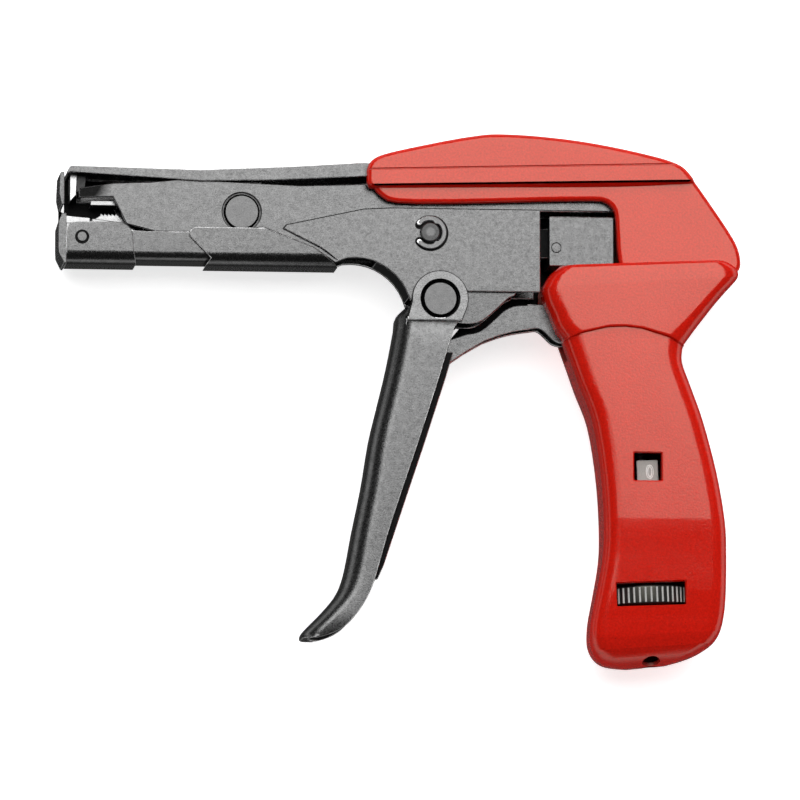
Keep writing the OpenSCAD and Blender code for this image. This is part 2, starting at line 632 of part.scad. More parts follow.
// The near side is at negative Y here
module number_slide() color("gray") place() on_screw() translate([-slide_half, -slide_out, nut_up]) {
    cube([slide_half * 2, slide_t, digit_top - nut_up]);
    cube([slide_half * 2, slide_out - nut_half[1], nut_h]);
}
module tension_spring() color("silver") place() on_screw() translate([0, 0, nut_up + nut_h + spring_wire / 2])
    wire(coil(spring_d / 2, (cap_up - nut_up - nut_h - spring_wire) / spring_turns, 90, spring_turns, 16),
        spring_wire / 2);
module spring_cap() color("gray") place() on_screw() translate([0, 0, cap_up]) {
    cylinder(r = cap_r, h = cap_t);
    translate([-cap_arm, wall - handle_half, 0]) cube([cap_arm * 2, (handle_half - wall) * 2, cap_t]);
}

// Housing

hood_shares = [[-0.188, 0.516], [-0.195, 0.58], [-0.195, 0.65], [-0.183, 0.727], [-0.155, 0.784], [-0.069, 0.86],
    [0.051, 0.946], [0.132, 0.985], [0.181, 1], [0.306, 0.989], [0.457, 0.946], [0.592, 0.88], [0.725, 0.796],
    [0.78, 0.745], [0.814, 0.693], [0.852, 0.548], [0.904, 0.33], [0.957, 0.105], [0.989, -0.054],
    [1, -0.188], [0.998, -0.281], [0.94, -0.45], [0.62, -0.45], [0.589, -0.229], [0.584, 0.22], [0.574, 0.3],
    [0.555, 0.36], [0.52, 0.392], [-0.129, 0.335], [-0.162, 0.402]];
hood_list = hood_places(hood_shares);
hood_turn = 35;
hood_reach = 1;
crease_shares = [[-0.3, 0.62], [0.9, 0.737]];
step_shares = [[-0.3, 0.437], [0.132, 0.478], [0.592, 0.499], [0.852, 0.548], [1.1, 0.6]];
crease_w = 0.6;
crease_deep = 0.35;

// Middle as a share of the back, depth below the pads, width, tilt, bow as a share of the width
grip_shares = [[0.674, 0.01, 1.349, 2.6, 0], [0.673, 0.032, 1.516, 3, 0], [0.664, 0.059, 1.571, 4, 0],
    [0.646, 0.095, 1.44, 3.8, 0], [0.634, 0.126, 1.306, 3.1, 0], [0.617, 0.172, 1.119, 1.2, 0.06],
    [0.608, 0.208, 0.965, -2, 0.14], [0.608, 0.211, 0.96, -2, 0.14], [0.618, 0.252, 0.901, 0, 0.06],
    [0.646, 0.311, 0.897, 1, 0], [0.689, 0.399, 0.897, 0, 0], [0.725, 0.526, 0.94, -1, 0],
    [0.743, 0.643, 0.976, 0, 0], [0.744, 0.727, 0.996, 1.4, 0], [0.733, 0.819, 1.044, 0.9, 0],
    [0.722, 0.878, 1.071, 2.5, 0], [0.714, 0.923, 1.048, 3.9, 0], [0.707, 0.952, 0.968, 4.2, 0],
    [0.696, 0.974, 0.817, 4.7, 0], [0.686, 0.988, 0.62, 4.8, 0], [0.684, 0.997, 0.35, 4.8, 0]];
thick_shares = [0.86, 0.97, 1, 1, 1, 1, 1, 0, 0, 0, 0, 0, 0, 0.888, 0.848, 0.8, 0.768, 0.688, 0.544, 0.36, 0.12];
function thick(i) = thick_shares[i] > 0 ? thick_shares[i] * mid : handle_half;
function grip_ring(i, t) = let (k = grip_shares[i], w = k[2] * grip_w - 2 * t, h = thick(i) - t,
    r = min(max(edge_r - t, fit * 16), w / 3, h * 0.6), c = in_grip([k[0], k[1]]))
    [for (p = concat([[0, 0], [0, h - r]], [for (a = [22.5, 45, 67.5, 90]) [r - r * cos(a), h - r + r * sin(a)]],
        [[w * 0.3, h], [w / 2, h], [w * 0.7, h]],
        [for (a = [90, 67.5, 45, 22.5]) [w - r + r * cos(a), h - r + r * sin(a)]], [[w, h - r], [w, 0]]))
    [c[0] - w / 2 + p[0], c[1] + (p[0] - w / 2) * tan(k[3]) + 4 * k[4] * p[0] * (1 - p[0] / w), p[1]]];
module grip_half(t, first, last) skin([for (i = [first:last]) grip_ring(i, t)]);

screw_places = [on_hood([0, 0.66]), on_hood([0.658, 0.669]), on_hood([0.895, -0.048]), in_grip([0.776, 0.161]),
    in_grip([0.599, 0.939])];
screw_halves = [hood_half, hood_half, flange_half, mid, mid * 0.728];
head_r = 2.8;
head_t = 1.8;
head_deep = 1;
bite = 6;
bearing = 9.4;
window_shares = [[0.6296, 0.486], [0.7268, 0.554]];
wheel_window = [8.4, 2.85];

module hood() difference() {
    slab(0, hood_half) polygon(eased(hood_list, hood_turn, hood_reach, 3));
    slab(flange_half, hood_half + cut) polygon(concat(hood_places(step_shares),
        [on_hood([1.1, -1]), on_hood([-0.3, -1])]));
    slab(hood_half - crease_deep, hood_half + cut) bar(on_hood(crease_shares[0]), on_hood(crease_shares[1]), crease_w);
}
module room() {
    slab(-cut, frame_room) polygon(inset(hood_list, wall));
    slab(-cut, hood_half - wall) intersection() {
        polygon(inset(hood_list, wall));
        polygon(concat([for (p = hood_places(step_shares)) p + [0, wall / 2]], [on_hood([1.1, 2]), on_hood([-0.3, 2])]));
    }
    slab(-cut, frame_room) box(on_hood([-0.3, 0.3]), on_hood([0.6, 0.62]));
    slab(-cut, lever_half + gap) box(on_hood([-0.3, 0.3]), on_hood([-0.082, 1.1]));
    slab(-cut, crosshead_half + gap) box(at([0.3, 0.28]), at([0.87, -0.27]));
    slab(-cut, crosshead_half + gap) box(at([0.5, 0]), in_grip([0.86, 0.09]));
    slab(-cut, link_half + gap) box(at([0.3, -0.25]), in_grip([0.6, 0.245]));
    grip_half(wall, 2, 16);
}
module kept() {
    for (i = [0:len(screw_places) - 1]) rod(screw_places[i], boss_d / 2, 0, screw_halves[i] - plate_t);
    for (p = spacer_places) rod(p, spacer_r, barrel_half, hood_half - plate_t);
    on_screw() for (z = [wheel_t / 2 + gap, -wheel_t / 2 - gap - plate_t])
        translate([-bearing, -bearing, z]) cube([bearing * 2, bearing * 2, plate_t]);
}
module wheel_room() on_screw() {
    translate([0, 0, -tail - cut]) cylinder(d = tension_d + fit * 2, h = tail * 2);
    translate([0, 0, -wheel_t / 2 - gap]) cylinder(r = wheel_d / 2 + gap, h = wheel_t + gap * 2);
    translate([0, 0, -tail * 2]) cylinder(r = spacer_r, h = tail);
    translate([-wheel_window[0], -mid - cut, -wheel_window[1]])
        cube([wheel_window[0] * 2, grip_t + cut * 2, wheel_window[1] * 2]);
}
module shell(s) color("red") place() side(s) difference() {
    union() {
        hood();
        grip_half(0, 0, len(grip_shares) - 1);
    }
    difference() {
        room();
        kept();
    }
    wheel_room();
    if (s > 0) slab(handle_half - wall - cut, mid + cut) box(in_grip(window_shares[0]), in_grip(window_shares[1]));
    for (i = [0:len(screw_places) - 1]) {
        rod(screw_places[i], screw_d / 2, -cut, s > 0 ? bite : mid);
        if (s < 0) rod(screw_places[i], head_r, screw_halves[i] - head_deep - head_t, mid + cut);
    }
}
module near_shell() shell(1);
module far_shell() shell(-1);
module housing_screws() color("gray") place() for (i = [0:len(screw_places) - 1]) {
    rod(screw_places[i], screw_d / 2, head_deep + head_t - screw_halves[i], bite);
    rod(screw_places[i], head_r, head_deep - screw_halves[i], head_deep + head_t - screw_halves[i]);
}

near_side_plate();
far_side_plate();
near_lug_plate();
far_lug_plate();
barrel_channel();
nose_bracket();
rear_bracket();
nose_plate();
tie_guide();
nose_rivet();
front_web();
frame_spacers();
lever_pin();
trigger_pin();
guide_pin();
e_clip();
near_shell();
far_shell();
housing_screws();
rocker_pivot_pin();
spring_cap();
trigger();
trigger_liner();
link_pin();
trigger_spring();
drive_link();
rocker();
rocker_link_pin();
crosshead_pin();
draw_bar();
crosshead();
crosshead_rivet();
jaw_head();
pawl_pin();
pawl_spring();
pawl();
cutter_lever();
cutter_blade();
blade_holder();
blade_rivet();
lever_spring();
tension_screw();
thumbwheel();
tension_nut();
number_slide();
tension_spring();
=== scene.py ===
import json
import math
import bmesh
import bpy
from mathutils import Matrix, Vector

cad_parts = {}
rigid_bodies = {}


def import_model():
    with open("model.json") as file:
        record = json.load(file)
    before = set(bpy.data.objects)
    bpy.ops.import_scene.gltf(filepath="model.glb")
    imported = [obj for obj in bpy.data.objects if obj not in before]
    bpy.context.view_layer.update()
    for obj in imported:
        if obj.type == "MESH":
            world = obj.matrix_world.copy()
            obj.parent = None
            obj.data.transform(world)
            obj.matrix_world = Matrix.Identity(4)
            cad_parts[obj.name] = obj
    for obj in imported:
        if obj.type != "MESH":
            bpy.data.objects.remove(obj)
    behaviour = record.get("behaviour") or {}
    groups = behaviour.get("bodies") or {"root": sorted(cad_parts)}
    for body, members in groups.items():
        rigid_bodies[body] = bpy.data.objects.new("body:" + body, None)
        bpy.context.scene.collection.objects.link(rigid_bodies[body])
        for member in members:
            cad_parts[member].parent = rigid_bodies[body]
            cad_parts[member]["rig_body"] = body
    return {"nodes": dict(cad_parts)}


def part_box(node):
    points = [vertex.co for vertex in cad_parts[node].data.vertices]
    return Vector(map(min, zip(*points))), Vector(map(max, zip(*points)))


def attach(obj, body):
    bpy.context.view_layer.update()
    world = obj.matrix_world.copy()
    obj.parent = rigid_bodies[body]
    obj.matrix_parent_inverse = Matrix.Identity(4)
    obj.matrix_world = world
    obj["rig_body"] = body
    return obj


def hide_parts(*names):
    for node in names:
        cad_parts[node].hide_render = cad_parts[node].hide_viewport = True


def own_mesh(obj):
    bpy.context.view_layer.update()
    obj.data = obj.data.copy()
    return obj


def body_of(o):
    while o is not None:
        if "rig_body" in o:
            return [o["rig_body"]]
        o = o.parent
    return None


for old in list(bpy.data.objects):
    bpy.data.objects.remove(old)
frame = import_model()
nodes = frame["nodes"]
scene = bpy.context.scene
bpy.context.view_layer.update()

# The tool's own frame: millimetres from the trigger pivot along X, from the pull line along Y
mm = 0.001
triggerDrop = 15.0
pinLow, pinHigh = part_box("trigger_pin")
shellHigh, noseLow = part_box("near_shell")[1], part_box("nose_plate")[0]
origin = (pinLow + pinHigh) / 2 + Vector((0, triggerDrop * mm, 0))
toFrame = Matrix.Translation(origin) @ Matrix.Scale(mm, 4)
tool = {
    "front": (origin.x - noseLow.x) / mm,
    "back": (shellHigh.x - origin.x) / mm,
    "crown": (shellHigh.y - origin.y) / mm,
    "half": (shellHigh.z - origin.z) / mm,
    "bodyHeight": 25.6,
    "padDrop": 5.0,
    "gripLength": 97.8,
    "gripWidth": 30.0,
    "wall": 2.2,
}


def onHood(x, y):
    return Vector((x * (tool["front"] if x < 0 else tool["back"]), y * tool["crown"]))


def onBody(x, y):
    return Vector((x * (tool["front"] if x < 0 else tool["back"]), y * tool["bodyHeight"]))


def inGrip(x, depth):
    return Vector((x * tool["back"], -tool["padDrop"] - depth * tool["gripLength"]))


# Camera

shot = {"target": Vector((-0.21, -0.5, 19.5)) * mm, "tilt": (6.0, 7.0), "distance": 2.0, "lens": 376.6}
lens = bpy.data.cameras.new("camera")
lens.lens, lens.sensor_width, lens.sensor_fit = shot["lens"], 36, "HORIZONTAL"
lens.clip_start, lens.clip_end = 0.1, 50
camera = bpy.data.objects.new("camera", lens)
scene.collection.objects.link(camera)
lean = [-math.tan(math.radians(a)) for a in shot["tilt"]]
back = Vector((*lean, 1)).normalized()
side = Vector((0, 1, 0)).cross(back).normalized()
camera.matrix_world = Matrix.Translation(shot["target"] + back * shot["distance"]) @ Matrix(
    (side, back.cross(side), back)).transposed().to_4x4()
scene.camera = camera
scene.view_settings.view_transform = "Standard"

# Node helpers


def wired(net, node, inputs, out=0):
    for key, value in inputs.items():
        if isinstance(value, bpy.types.NodeSocket):
            net.links.new(value, node.inputs[key])
        else:
            node.inputs[key].default_value = value
    return node.outputs[out]


def put(net, kind, inputs, out=0, **settings):
    node = net.nodes.new("ShaderNode" + kind)
    for key, value in settings.items():
        setattr(node, key, value)
    return wired(net, node, inputs, out)


def maths(net, how, a, b):
    return put(net, "Math", {0: a, 1: b}, operation=how)


def mixed(net, factor, a, b):
    return put(net, "Mix", {0: factor, 6: a, 7: b}, 2, data_type="RGBA")


def ranged(net, value, low, high, to=(0.0, 1.0), how="LINEAR"):
    return put(net, "MapRange", {"Value": value, "From Min": low, "From Max": high, "To Min": to[0],
                                 "To Max": to[1]}, interpolation_type=how)


def grey(v):
    return (v, v, v, 1)


def makeGroup(name, takes, gives, kind="Shader"):
    net = bpy.data.node_groups.new(name, kind + "NodeTree")
    for label, kind, value in takes:
        socket = net.interface.new_socket(label, in_out="INPUT", socket_type="NodeSocket" + kind)
        if value is not None:
            socket.default_value = value
    for label, kind in gives:
        net.interface.new_socket(label, in_out="OUTPUT", socket_type="NodeSocket" + kind)
    return net, net.nodes.new("NodeGroupInput").outputs, net.nodes.new("NodeGroupOutput").inputs


def use(net, group, inputs):
    node = net.nodes.new("ShaderNodeGroup")
    node.node_tree = group
    return wired(net, node, inputs)


# Shared effects: Size is the width of one blotch, dot or mark in metres


def mottleGroup():
    net, take, give = makeGroup("mottle", [("Vector", "Vector", None), ("Size", "Float", 0.003),
                                           ("Contrast", "Float", 1.0)], [("Value", "Float")])
    scale = maths(net, "DIVIDE", 1.0, take["Size"])
    noise = put(net, "TexNoise", {"Vector": take["Vector"], "Scale": scale, "Detail": 5.0,
                                  "Roughness": 0.62})
    centred = maths(net, "SUBTRACT", noise, 0.5)
    wide = put(net, "Math", {0: centred, 1: take["Contrast"], 2: 0.5}, operation="MULTIPLY_ADD")
    net.links.new(put(net, "Clamp", {"Value": wide}), give["Value"])
    return net


def specksGroup():
    net, take, give = makeGroup("specks", [("Vector", "Vector", None), ("Size", "Float", 0.001),
                                           ("Amount", "Float", 0.2)], [("Mask", "Float")])
    scale = maths(net, "DIVIDE", 0.35, take["Size"])
    node = net.nodes.new("ShaderNodeTexVoronoi")
    net.links.new(take["Vector"], node.inputs["Vector"])
    net.links.new(scale, node.inputs["Scale"])
    near = ranged(net, node.outputs["Distance"], 0.16, 0.1)
    tone = put(net, "SeparateXYZ", {"Vector": node.outputs["Color"]})
    chosen = put(net, "Math", {0: tone, 1: take["Amount"]}, operation="LESS_THAN")
    net.links.new(maths(net, "MULTIPLY", near, chosen), give["Mask"])
    return net


def marksGroup():
    net, take, give = makeGroup("drawMarks", [("Vector", "Vector", None), ("Size", "Float", 0.0004),
                                              ("Stretch", "Float", 12.0)], [("Value", "Float")])
    scale = maths(net, "DIVIDE", 1.0, take["Size"])
    short = maths(net, "DIVIDE", scale, take["Stretch"])
    shape = put(net, "CombineXYZ", {"X": short, "Y": scale, "Z": scale})
    placed = put(net, "VectorMath", {0: take["Vector"], 1: shape}, operation="MULTIPLY")
    noise = put(net, "TexNoise", {"Vector": placed, "Scale": 1.0, "Detail": 3.0, "Roughness": 0.6})
    net.links.new(noise, give["Value"])
    return net


mottle, specks, drawMarks = mottleGroup(), specksGroup(), marksGroup()


def newMaterial(name):
    made = bpy.data.materials.new(name)
    made.use_nodes = True
    net = made.node_tree
    net.nodes.clear()
    shader = net.nodes.new("ShaderNodeBsdfPrincipled")
    end = net.nodes.new("ShaderNodeOutputMaterial")
    net.links.new(shader.outputs[0], end.inputs["Surface"])
    return made, net, shader, net.nodes.new("ShaderNodeTexCoord").outputs["Object"]


def bumped(net, shader, height, depth, strength=1.0):
    normal = put(net, "Bump", {"Height": height, "Distance": depth, "Strength": strength})
    net.links.new(normal, shader.inputs["Normal"])


# Widths in metres: the steel's blotches, grain, pits and drawing marks, the worn edges' patches and
# grain, the plastic's broad shade, dust and scuffs
detail = {"blotch": 0.0013, "grain": 0.00036, "pit": 0.00022, "mark": 0.00025, "patch": 0.0016,
          "wear": 0.0003, "shade": 0.016, "dust": 0.00028, "scuff": 0.0009}
relief = {"steel": 0.000016, "edge": 0.00001}


# Sheet steel with a mottled finish; tone is how much light it gives back
# near scales the tone round a point, a painted highlight where its gain is above 1 and painted shade where it
# is below; under darkens it above a height as painted shadow
def steel(name, tone, rough=0.24, spread=0.38, pits=0.25, near=None, under=None):
    made, net, shader, where = newMaterial(name)
    blotch = use(net, mottle, {"Vector": where, "Size": detail["blotch"], "Contrast": 1.2})
    grain = use(net, mottle, {"Vector": where, "Size": detail["grain"], "Contrast": 2.8})
    cloud = maths(net, "ADD", blotch, grain)
    level = ranged(net, cloud, 0.5, 1.5, (tone * (1 - spread), tone * (1 + spread)))
    # Painted highlight and shade: the tone scaled by the gain round a point
    if near:
        away = put(net, "VectorMath", {0: where, 1: near["at"]}, 1, operation="DISTANCE")
        lift = ranged(net, away, near["reach"] * 0.6, near["reach"], (near["gain"], 1.0))
        level = maths(net, "MULTIPLY", level, lift)
    # Painted shadow: the tone darkened above a height
    if under:
        height = put(net, "SeparateXYZ", {0: where}, 1)
        shade = ranged(net, height, *under, (1.0, 0.1))
        level = maths(net, "MULTIPLY", level, shade)
    dots = use(net, specks, {"Vector": where, "Size": detail["pit"], "Amount": pits})
    dark = ranged(net, dots, 0, 1, (1.0, 0.45))
    level = maths(net, "MULTIPLY", level, dark)
    net.links.new(put(net, "CombineColor", {0: level, 1: level, 2: level}), shader.inputs["Base Color"])
    net.links.new(ranged(net, grain, 0, 1, (rough * 0.85, rough * 1.25)), shader.inputs["Roughness"])
    shader.inputs["Metallic"].default_value = 1.0
    marks = use(net, drawMarks, {"Vector": where, "Size": detail["mark"], "Stretch": 5.0})
    height = maths(net, "ADD", grain, marks)
    bumped(net, shader, height, relief["steel"], 0.5)
    return made


# Bare metal along a worn edge, broken by darker stretches
def wornEdge(name, tone, dark=0.25, rough=0.42):
    made, net, shader, where = newMaterial(name)
    patch = use(net, mottle, {"Vector": where, "Size": detail["patch"], "Contrast": 3.0})
    fine = use(net, mottle, {"Vector": where, "Size": detail["wear"], "Contrast": 2.0})
    both = maths(net, "MULTIPLY", patch, fine)
    level = ranged(net, both, 0.02, 0.35, (tone * dark, tone))
    net.links.new(put(net, "CombineColor", {0: level, 1: level, 2: level}), shader.inputs["Base Color"])
    net.links.new(ranged(net, fine, 0, 1, (rough * 0.8, rough * 1.2)), shader.inputs["Roughness"])
    shader.inputs["Metallic"].default_value = 1.0
    bumped(net, shader, fine, relief["edge"], 0.4)
    return made


# Moulded plastic with the fine grain of its tool, dust specks and faint scuffs
def plastic(name, colour, rough, grainSize=0.0005, grainDepth=0.00003, dots=0.05, dotTone=0.25):
    made, net, shader, where = newMaterial(name)
    broad = use(net, mottle, {"Vector": where, "Size": detail["shade"], "Contrast": 1.2})
    fine = use(net, mottle, {"Vector": where, "Size": grainSize, "Contrast": 2.0})
    shade = maths(net, "MULTIPLY", ranged(net, broad, 0.2, 0.8, (0.94, 1.06)),
                  ranged(net, fine, 0.1, 0.9, (0.8, 1.2)))
    tinted = put(net, "VectorMath", {0: (*colour,), 3: shade}, operation="SCALE")
    dust = use(net, specks, {"Vector": where, "Size": detail["dust"], "Amount": dots})
    darker = [c * dotTone for c in colour]
    net.links.new(mixed(net, dust, tinted, (*darker, 1)), shader.inputs["Base Color"])
    scuff = use(net, drawMarks, {"Vector": where, "Size": detail["scuff"], "Stretch": 4.0})
    rougher = ranged(net, scuff, 0.45, 0.75, (0.0, 0.06))
    net.links.new(maths(net, "ADD", rougher, rough), shader.inputs["Roughness"])
    shader.inputs["IOR"].default_value = 1.56
    shader.inputs["Specular Tint"].default_value = (1.0, 0.97, 0.8, 1)
    bumped(net, shader, fine, grainDepth, 0.6)
    return made


# Places with painted light and shade: a painted highlight round the trigger pivot and on the guide pin's
# face, painted shade on the plate beside the nose, painted shadow on the rim of the lug under the side
# plate's edge
pivotPlace = tuple(origin + Vector((0, -triggerDrop, 8.75)) * mm)
studLow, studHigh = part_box("guide_pin")
studPlace = ((studLow.x + studHigh.x) / 2, (studLow.y + studHigh.y) / 2, studHigh.z)
noseShade = {"at": (-0.0765, 0.0513, 0.0195), "reach": 0.0075, "gain": 0.05}
lugShade = (0.0259, 0.02605)
mats = {
    # Side plate: painted shade beside the nose
    "plate": steel("sidePlateSteel", 0.126, near=noseShade),
    "lever": steel("leverSteel", 0.135, 0.26),
    "nose": steel("noseSteel", 0.118),
    "under": steel("bracketSteel", 0.125, 0.28),
    "block": steel("blockSteel", 0.14, 0.28),
    "pin": steel("pinSteel", 0.108, 0.22, 0.22),
    # Guide pin and trigger: painted highlights, lighter at the pin's middle and round the pivot
    "stud": steel("studSteel", 0.055, 0.22, 0.22, near={"at": studPlace, "reach": 0.0013, "gain": 1.8}),
    "trigger": steel("triggerSteel", 0.145, 0.28, near={"at": pivotPlace, "reach": 0.0125, "gain": 1.35}),
    "liner": steel("linerSteel", 0.035, 0.3),
    # Lug plate: painted shadow under the side plate's edge
    "lug": steel("lugSteel", 0.112, 0.24, under=lugShade),
    "link": steel("linkSteel", 0.128, 0.26),
    "clip": steel("clipSteel", 0.12, 0.2, 0.25),
    # Painted shade: a near-black steel for parts, edges, rings and sheets that lie in shade
    "gap": steel("shadowBlackSteel", 0.012, 0.5),
    "bright": steel("brightSteel", 0.3, 0.2, 0.2, 0.08),
    "blade": steel("bladeSteel", 0.42, 0.2, 0.3, 0.1),
    "spring": steel("springSteel", 0.28, 0.22, 0.2, 0.06),
    # Painted shade: a darker copy of the steel for parts deep inside
    "dark": steel("shadedInnerSteel", 0.06, 0.34),
    "edge": wornEdge("wornEdge", 0.85, 0.45),
    "softEdge": wornEdge("softEdge", 0.3, 0.5),
    "brightEdge": wornEdge("brightEdge", 0.8, 0.6, 0.3),
    "housing": plastic("redPlastic", (0.52, 0.0075, 0.0025), 0.09),
    # Painted shade: the housing's inside and cut faces in a darker, rougher red
    "inside": plastic("shadedRedInside", (0.3, 0.002, 0.001), 0.4, 0.0003, 0.000008, 0.08),
    "wheel": plastic("wheelPlastic", (0.012, 0.012, 0.013), 0.3, 0.0003, 0.000006, 0.02, 3.0),
    # Painted highlight: the wheel's ribs in light grey against its black body
    "rib": plastic("litRibPlastic", (0.42, 0.42, 0.41), 0.3, 0.0002, 0.000006, 0.2, 0.3),
    "slide": plastic("slidePlastic", (0.27, 0.26, 0.26), 0.35, 0.0003, 0.000006, 0.15, 0.3),
    "digit": plastic("digitPaint", (0.75, 0.74, 0.73), 0.4, 0.0004, 0.000004, 0.1, 0.5),
}
print("materials made")

# Meshes


# Smooth faces with sharp creases
def finished(obj, angle=35, weighted=True):
    obj.data.shade_smooth()
    obj.data.set_sharp_from_angle(angle=math.radians(angle))
    if weighted:
        change = obj.modifiers.new("normals", "WEIGHTED_NORMAL")
        change.mode, change.weight, change.keep_sharp = "FACE_AREA_WITH_ANGLE", 60, True
    return settled(obj)


# Modifiers become the mesh itself
def settled(obj):
    graph = bpy.context.evaluated_depsgraph_get()
    mesh = bpy.data.meshes.new_from_object(obj.evaluated_get(graph), preserve_all_data_layers=True,
                                           depsgraph=graph)
    mesh.name = obj.name
    obj.modifiers.clear()
    obj.data = mesh
    return obj


def newObject(name, bm, materials, place=toFrame):
    if place:
        bm.transform(place)
    mesh = bpy.data.meshes.new(name)
    bm.to_mesh(mesh)
    bm.free()
    obj = bpy.data.objects.new(name, mesh)
    scene.collection.objects.link(obj)
    for m in materials:
        mesh.materials.append(mats[m])
    return obj


# Faces lose the materials their cutters left
def painted(obj, *looks):
    for face in obj.data.polygons:
        face.material_index = 0
    obj.data.materials.clear()
    for look in looks:
        obj.data.materials.append(mats[look])


# Edges that turn by more than an angle get the second material
def bevelled(obj, width, segments, turn=None):
    change = obj.modifiers.new("edges", "BEVEL")
    change.width, change.segments = width * mm, segments
    if turn:
        change.limit_method, change.angle_limit = "ANGLE", math.radians(turn)
        change.profile, change.use_clamp_overlap, change.material = 0.55, False, 1
    return settled(obj)


def ready(obj, body, slot, *replaced):
    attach(obj, body)
    if replaced:
        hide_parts(*replaced)
    return obj


# A CAD node's form with its edges broken, the breaks in their own material; rounds is the radius of
# upright corners higher than above, and bare a box whose breaks keep the look of the faces
def softened(node, look, edge="edge", width=0.16, slot="black_steel", smooth=0, rounds=0, above=-99,
             bare=None):
    bm = bmesh.new()
    bm.from_mesh(nodes[node].data)
    bmesh.ops.remove_doubles(bm, verts=bm.verts, dist=2e-6)
    bmesh.ops.dissolve_limit(bm, angle_limit=math.radians(1), verts=bm.verts, edges=bm.edges)
    if rounds:
        weight = bm.edges.layers.float.new("bevel_weight_edge")
        upright = [e for e in bm.edges if abs(e.verts[0].co.z - e.verts[1].co.z) > 0.999 * e.calc_length()
                   and e.verts[0].co.y > origin.y + above * mm and len(e.link_faces) == 2
                   and 12 < math.degrees(e.calc_face_angle(0)) < 100]
        for e in upright:
            room = min(f.calc_area() for f in e.link_faces) / e.calc_length()
            e[weight] = min(1.0, 0.47 * room / (rounds * mm))
    obj = newObject(node + "Worn", bm, [look, edge], None)
    if smooth:
        obj.modifiers.new("round", "SUBSURF").levels = smooth
    if rounds:
        change = obj.modifiers.new("corners", "BEVEL")
        change.width, change.segments, change.limit_method = rounds * mm, 4, "WEIGHT"
        change.use_clamp_overlap = False
    if width:
        bevelled(obj, width, 1, 38)
    if bare:
        for face in obj.data.polygons:
            spot = (face.center - origin) / mm
            if bare[0] < spot.x < bare[2] and bare[1] < spot.y < bare[3]:
                face.material_index = 0
    finished(obj)
    return ready(obj, body_of(nodes[node])[0], slot, node)


# The gap look is painted shade: the front web, trigger liner and draw bar are near black, and the pins'
# broken edges are a dark ring
work = {
    "near_side_plate": {"look": "plate", "width": 0.17, "bare": (-40, 1.0, 30, 9)},
    "far_side_plate": {"look": "plate", "width": 0.17, "bare": (-40, 1.0, 30, 9)},
    "near_lug_plate": {"look": "lug", "width": 0.15, "rounds": 1.6},
    "far_lug_plate": {"look": "lug", "width": 0.15, "rounds": 1.6},
    "barrel_channel": {"look": "under", "width": 0.14},
    "nose_bracket": {"look": "nose", "width": 0.16, "rounds": 2.4, "above": -1},
    "rear_bracket": {"look": "nose", "width": 0.16, "rounds": 1.4, "above": -1},
    "nose_plate": {"look": "nose", "width": 0.14},
    "tie_guide": {"look": "bright", "edge": "brightEdge", "width": 0.2, "slot": "bright_steel"},
    "front_web": {"look": "gap", "width": 0.12},
    "frame_spacers": {"look": "pin", "width": 0.12},
    "lever_pin": {"look": "pin", "edge": "gap", "width": 0.4},
    "trigger_pin": {"look": "pin", "edge": "gap", "width": 0.4},
    "guide_pin": {"look": "stud", "edge": "softEdge", "width": 0.2},
    "trigger_liner": {"look": "gap", "width": 0.15},
    "link_pin": {"look": "pin", "width": 0.2},
    "drive_link": {"look": "link", "width": 0.15, "rounds": 4.0},
    "rocker": {"look": "dark", "width": 0.15},
    "crosshead": {"look": "block", "width": 0.2, "bare": (24, -7, 32, 1)},
    "crosshead_rivet": {"look": "block", "edge": "block", "width": 0.05},
    "draw_bar": {"look": "gap", "width": 0.15},
    "jaw_head": {"look": "bright", "edge": "brightEdge", "width": 0.15, "slot": "bright_steel"},
    "pawl": {"look": "bright", "edge": "brightEdge", "width": 0.08, "slot": "bright_steel"},
    "cutter_lever": {"look": "lever", "width": 0.18},
    "cutter_blade": {"look": "blade", "edge": "brightEdge", "width": 0.12, "slot": "bright_steel"},
    "blade_holder": {"look": "liner", "edge": "softEdge", "width": 0.12},
    "blade_rivet": {"look": "bright", "edge": "brightEdge", "width": 0.1, "slot": "bright_steel"},
}
for node, how in work.items():
    softened(node, **how)
for node in ("lever_spring", "trigger_spring", "tension_spring", "pawl_spring"):
    softened(node, "spring", "spring", 0, "spring_steel", smooth=1)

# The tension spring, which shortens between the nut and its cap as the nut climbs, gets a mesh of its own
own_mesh(bpy.data.objects["tension_springWorn"])
print("steel pieces made")

# Housing outline and tables, as shares of the tool's sizes
housing = {
    "outline": [(-0.188, 0.516), (-0.195, 0.58), (-0.195, 0.65), (-0.183, 0.727), (-0.155, 0.784),
                (-0.069, 0.86), (0.051, 0.946), (0.132, 0.985), (0.181, 1), (0.306, 0.989), (0.457, 0.946),
                (0.592, 0.88), (0.725, 0.796), (0.78, 0.745), (0.814, 0.693), (0.852, 0.548), (0.904, 0.33),
                (0.957, 0.105), (0.989, -0.054), (1, -0.188), (0.998, -0.281), (0.94, -0.45),
                (0.62, -0.45), (0.589, -0.229), (0.584, 0.22), (0.574, 0.29), (0.555, 0.348), (0.52, 0.376),
                (-0.118, 0.294), (-0.16, 0.38)],
    "panelFirst": 1, "panelLast": 14,
    "stepLine": [(0.852, 0.548), (0.592, 0.499), (0.132, 0.478), (-0.195, 0.455)],
    "crease": [(-0.3, 0.62), (0.9, 0.737)], "creaseWidths": (0.12, 0.5, 1.0),
    "hoodHalf": 11.0, "flangeHalf": 9.5, "lift": 0.03,
    "edge": 1.35, "flangeEdge": 1.1, "seam": 0.22, "slope": 0.85, "draft": 1.1,
    "room": 7.25, "leverRoom": 7.8, "bodyRoom": 7.1, "linkRoom": 4.15,
}
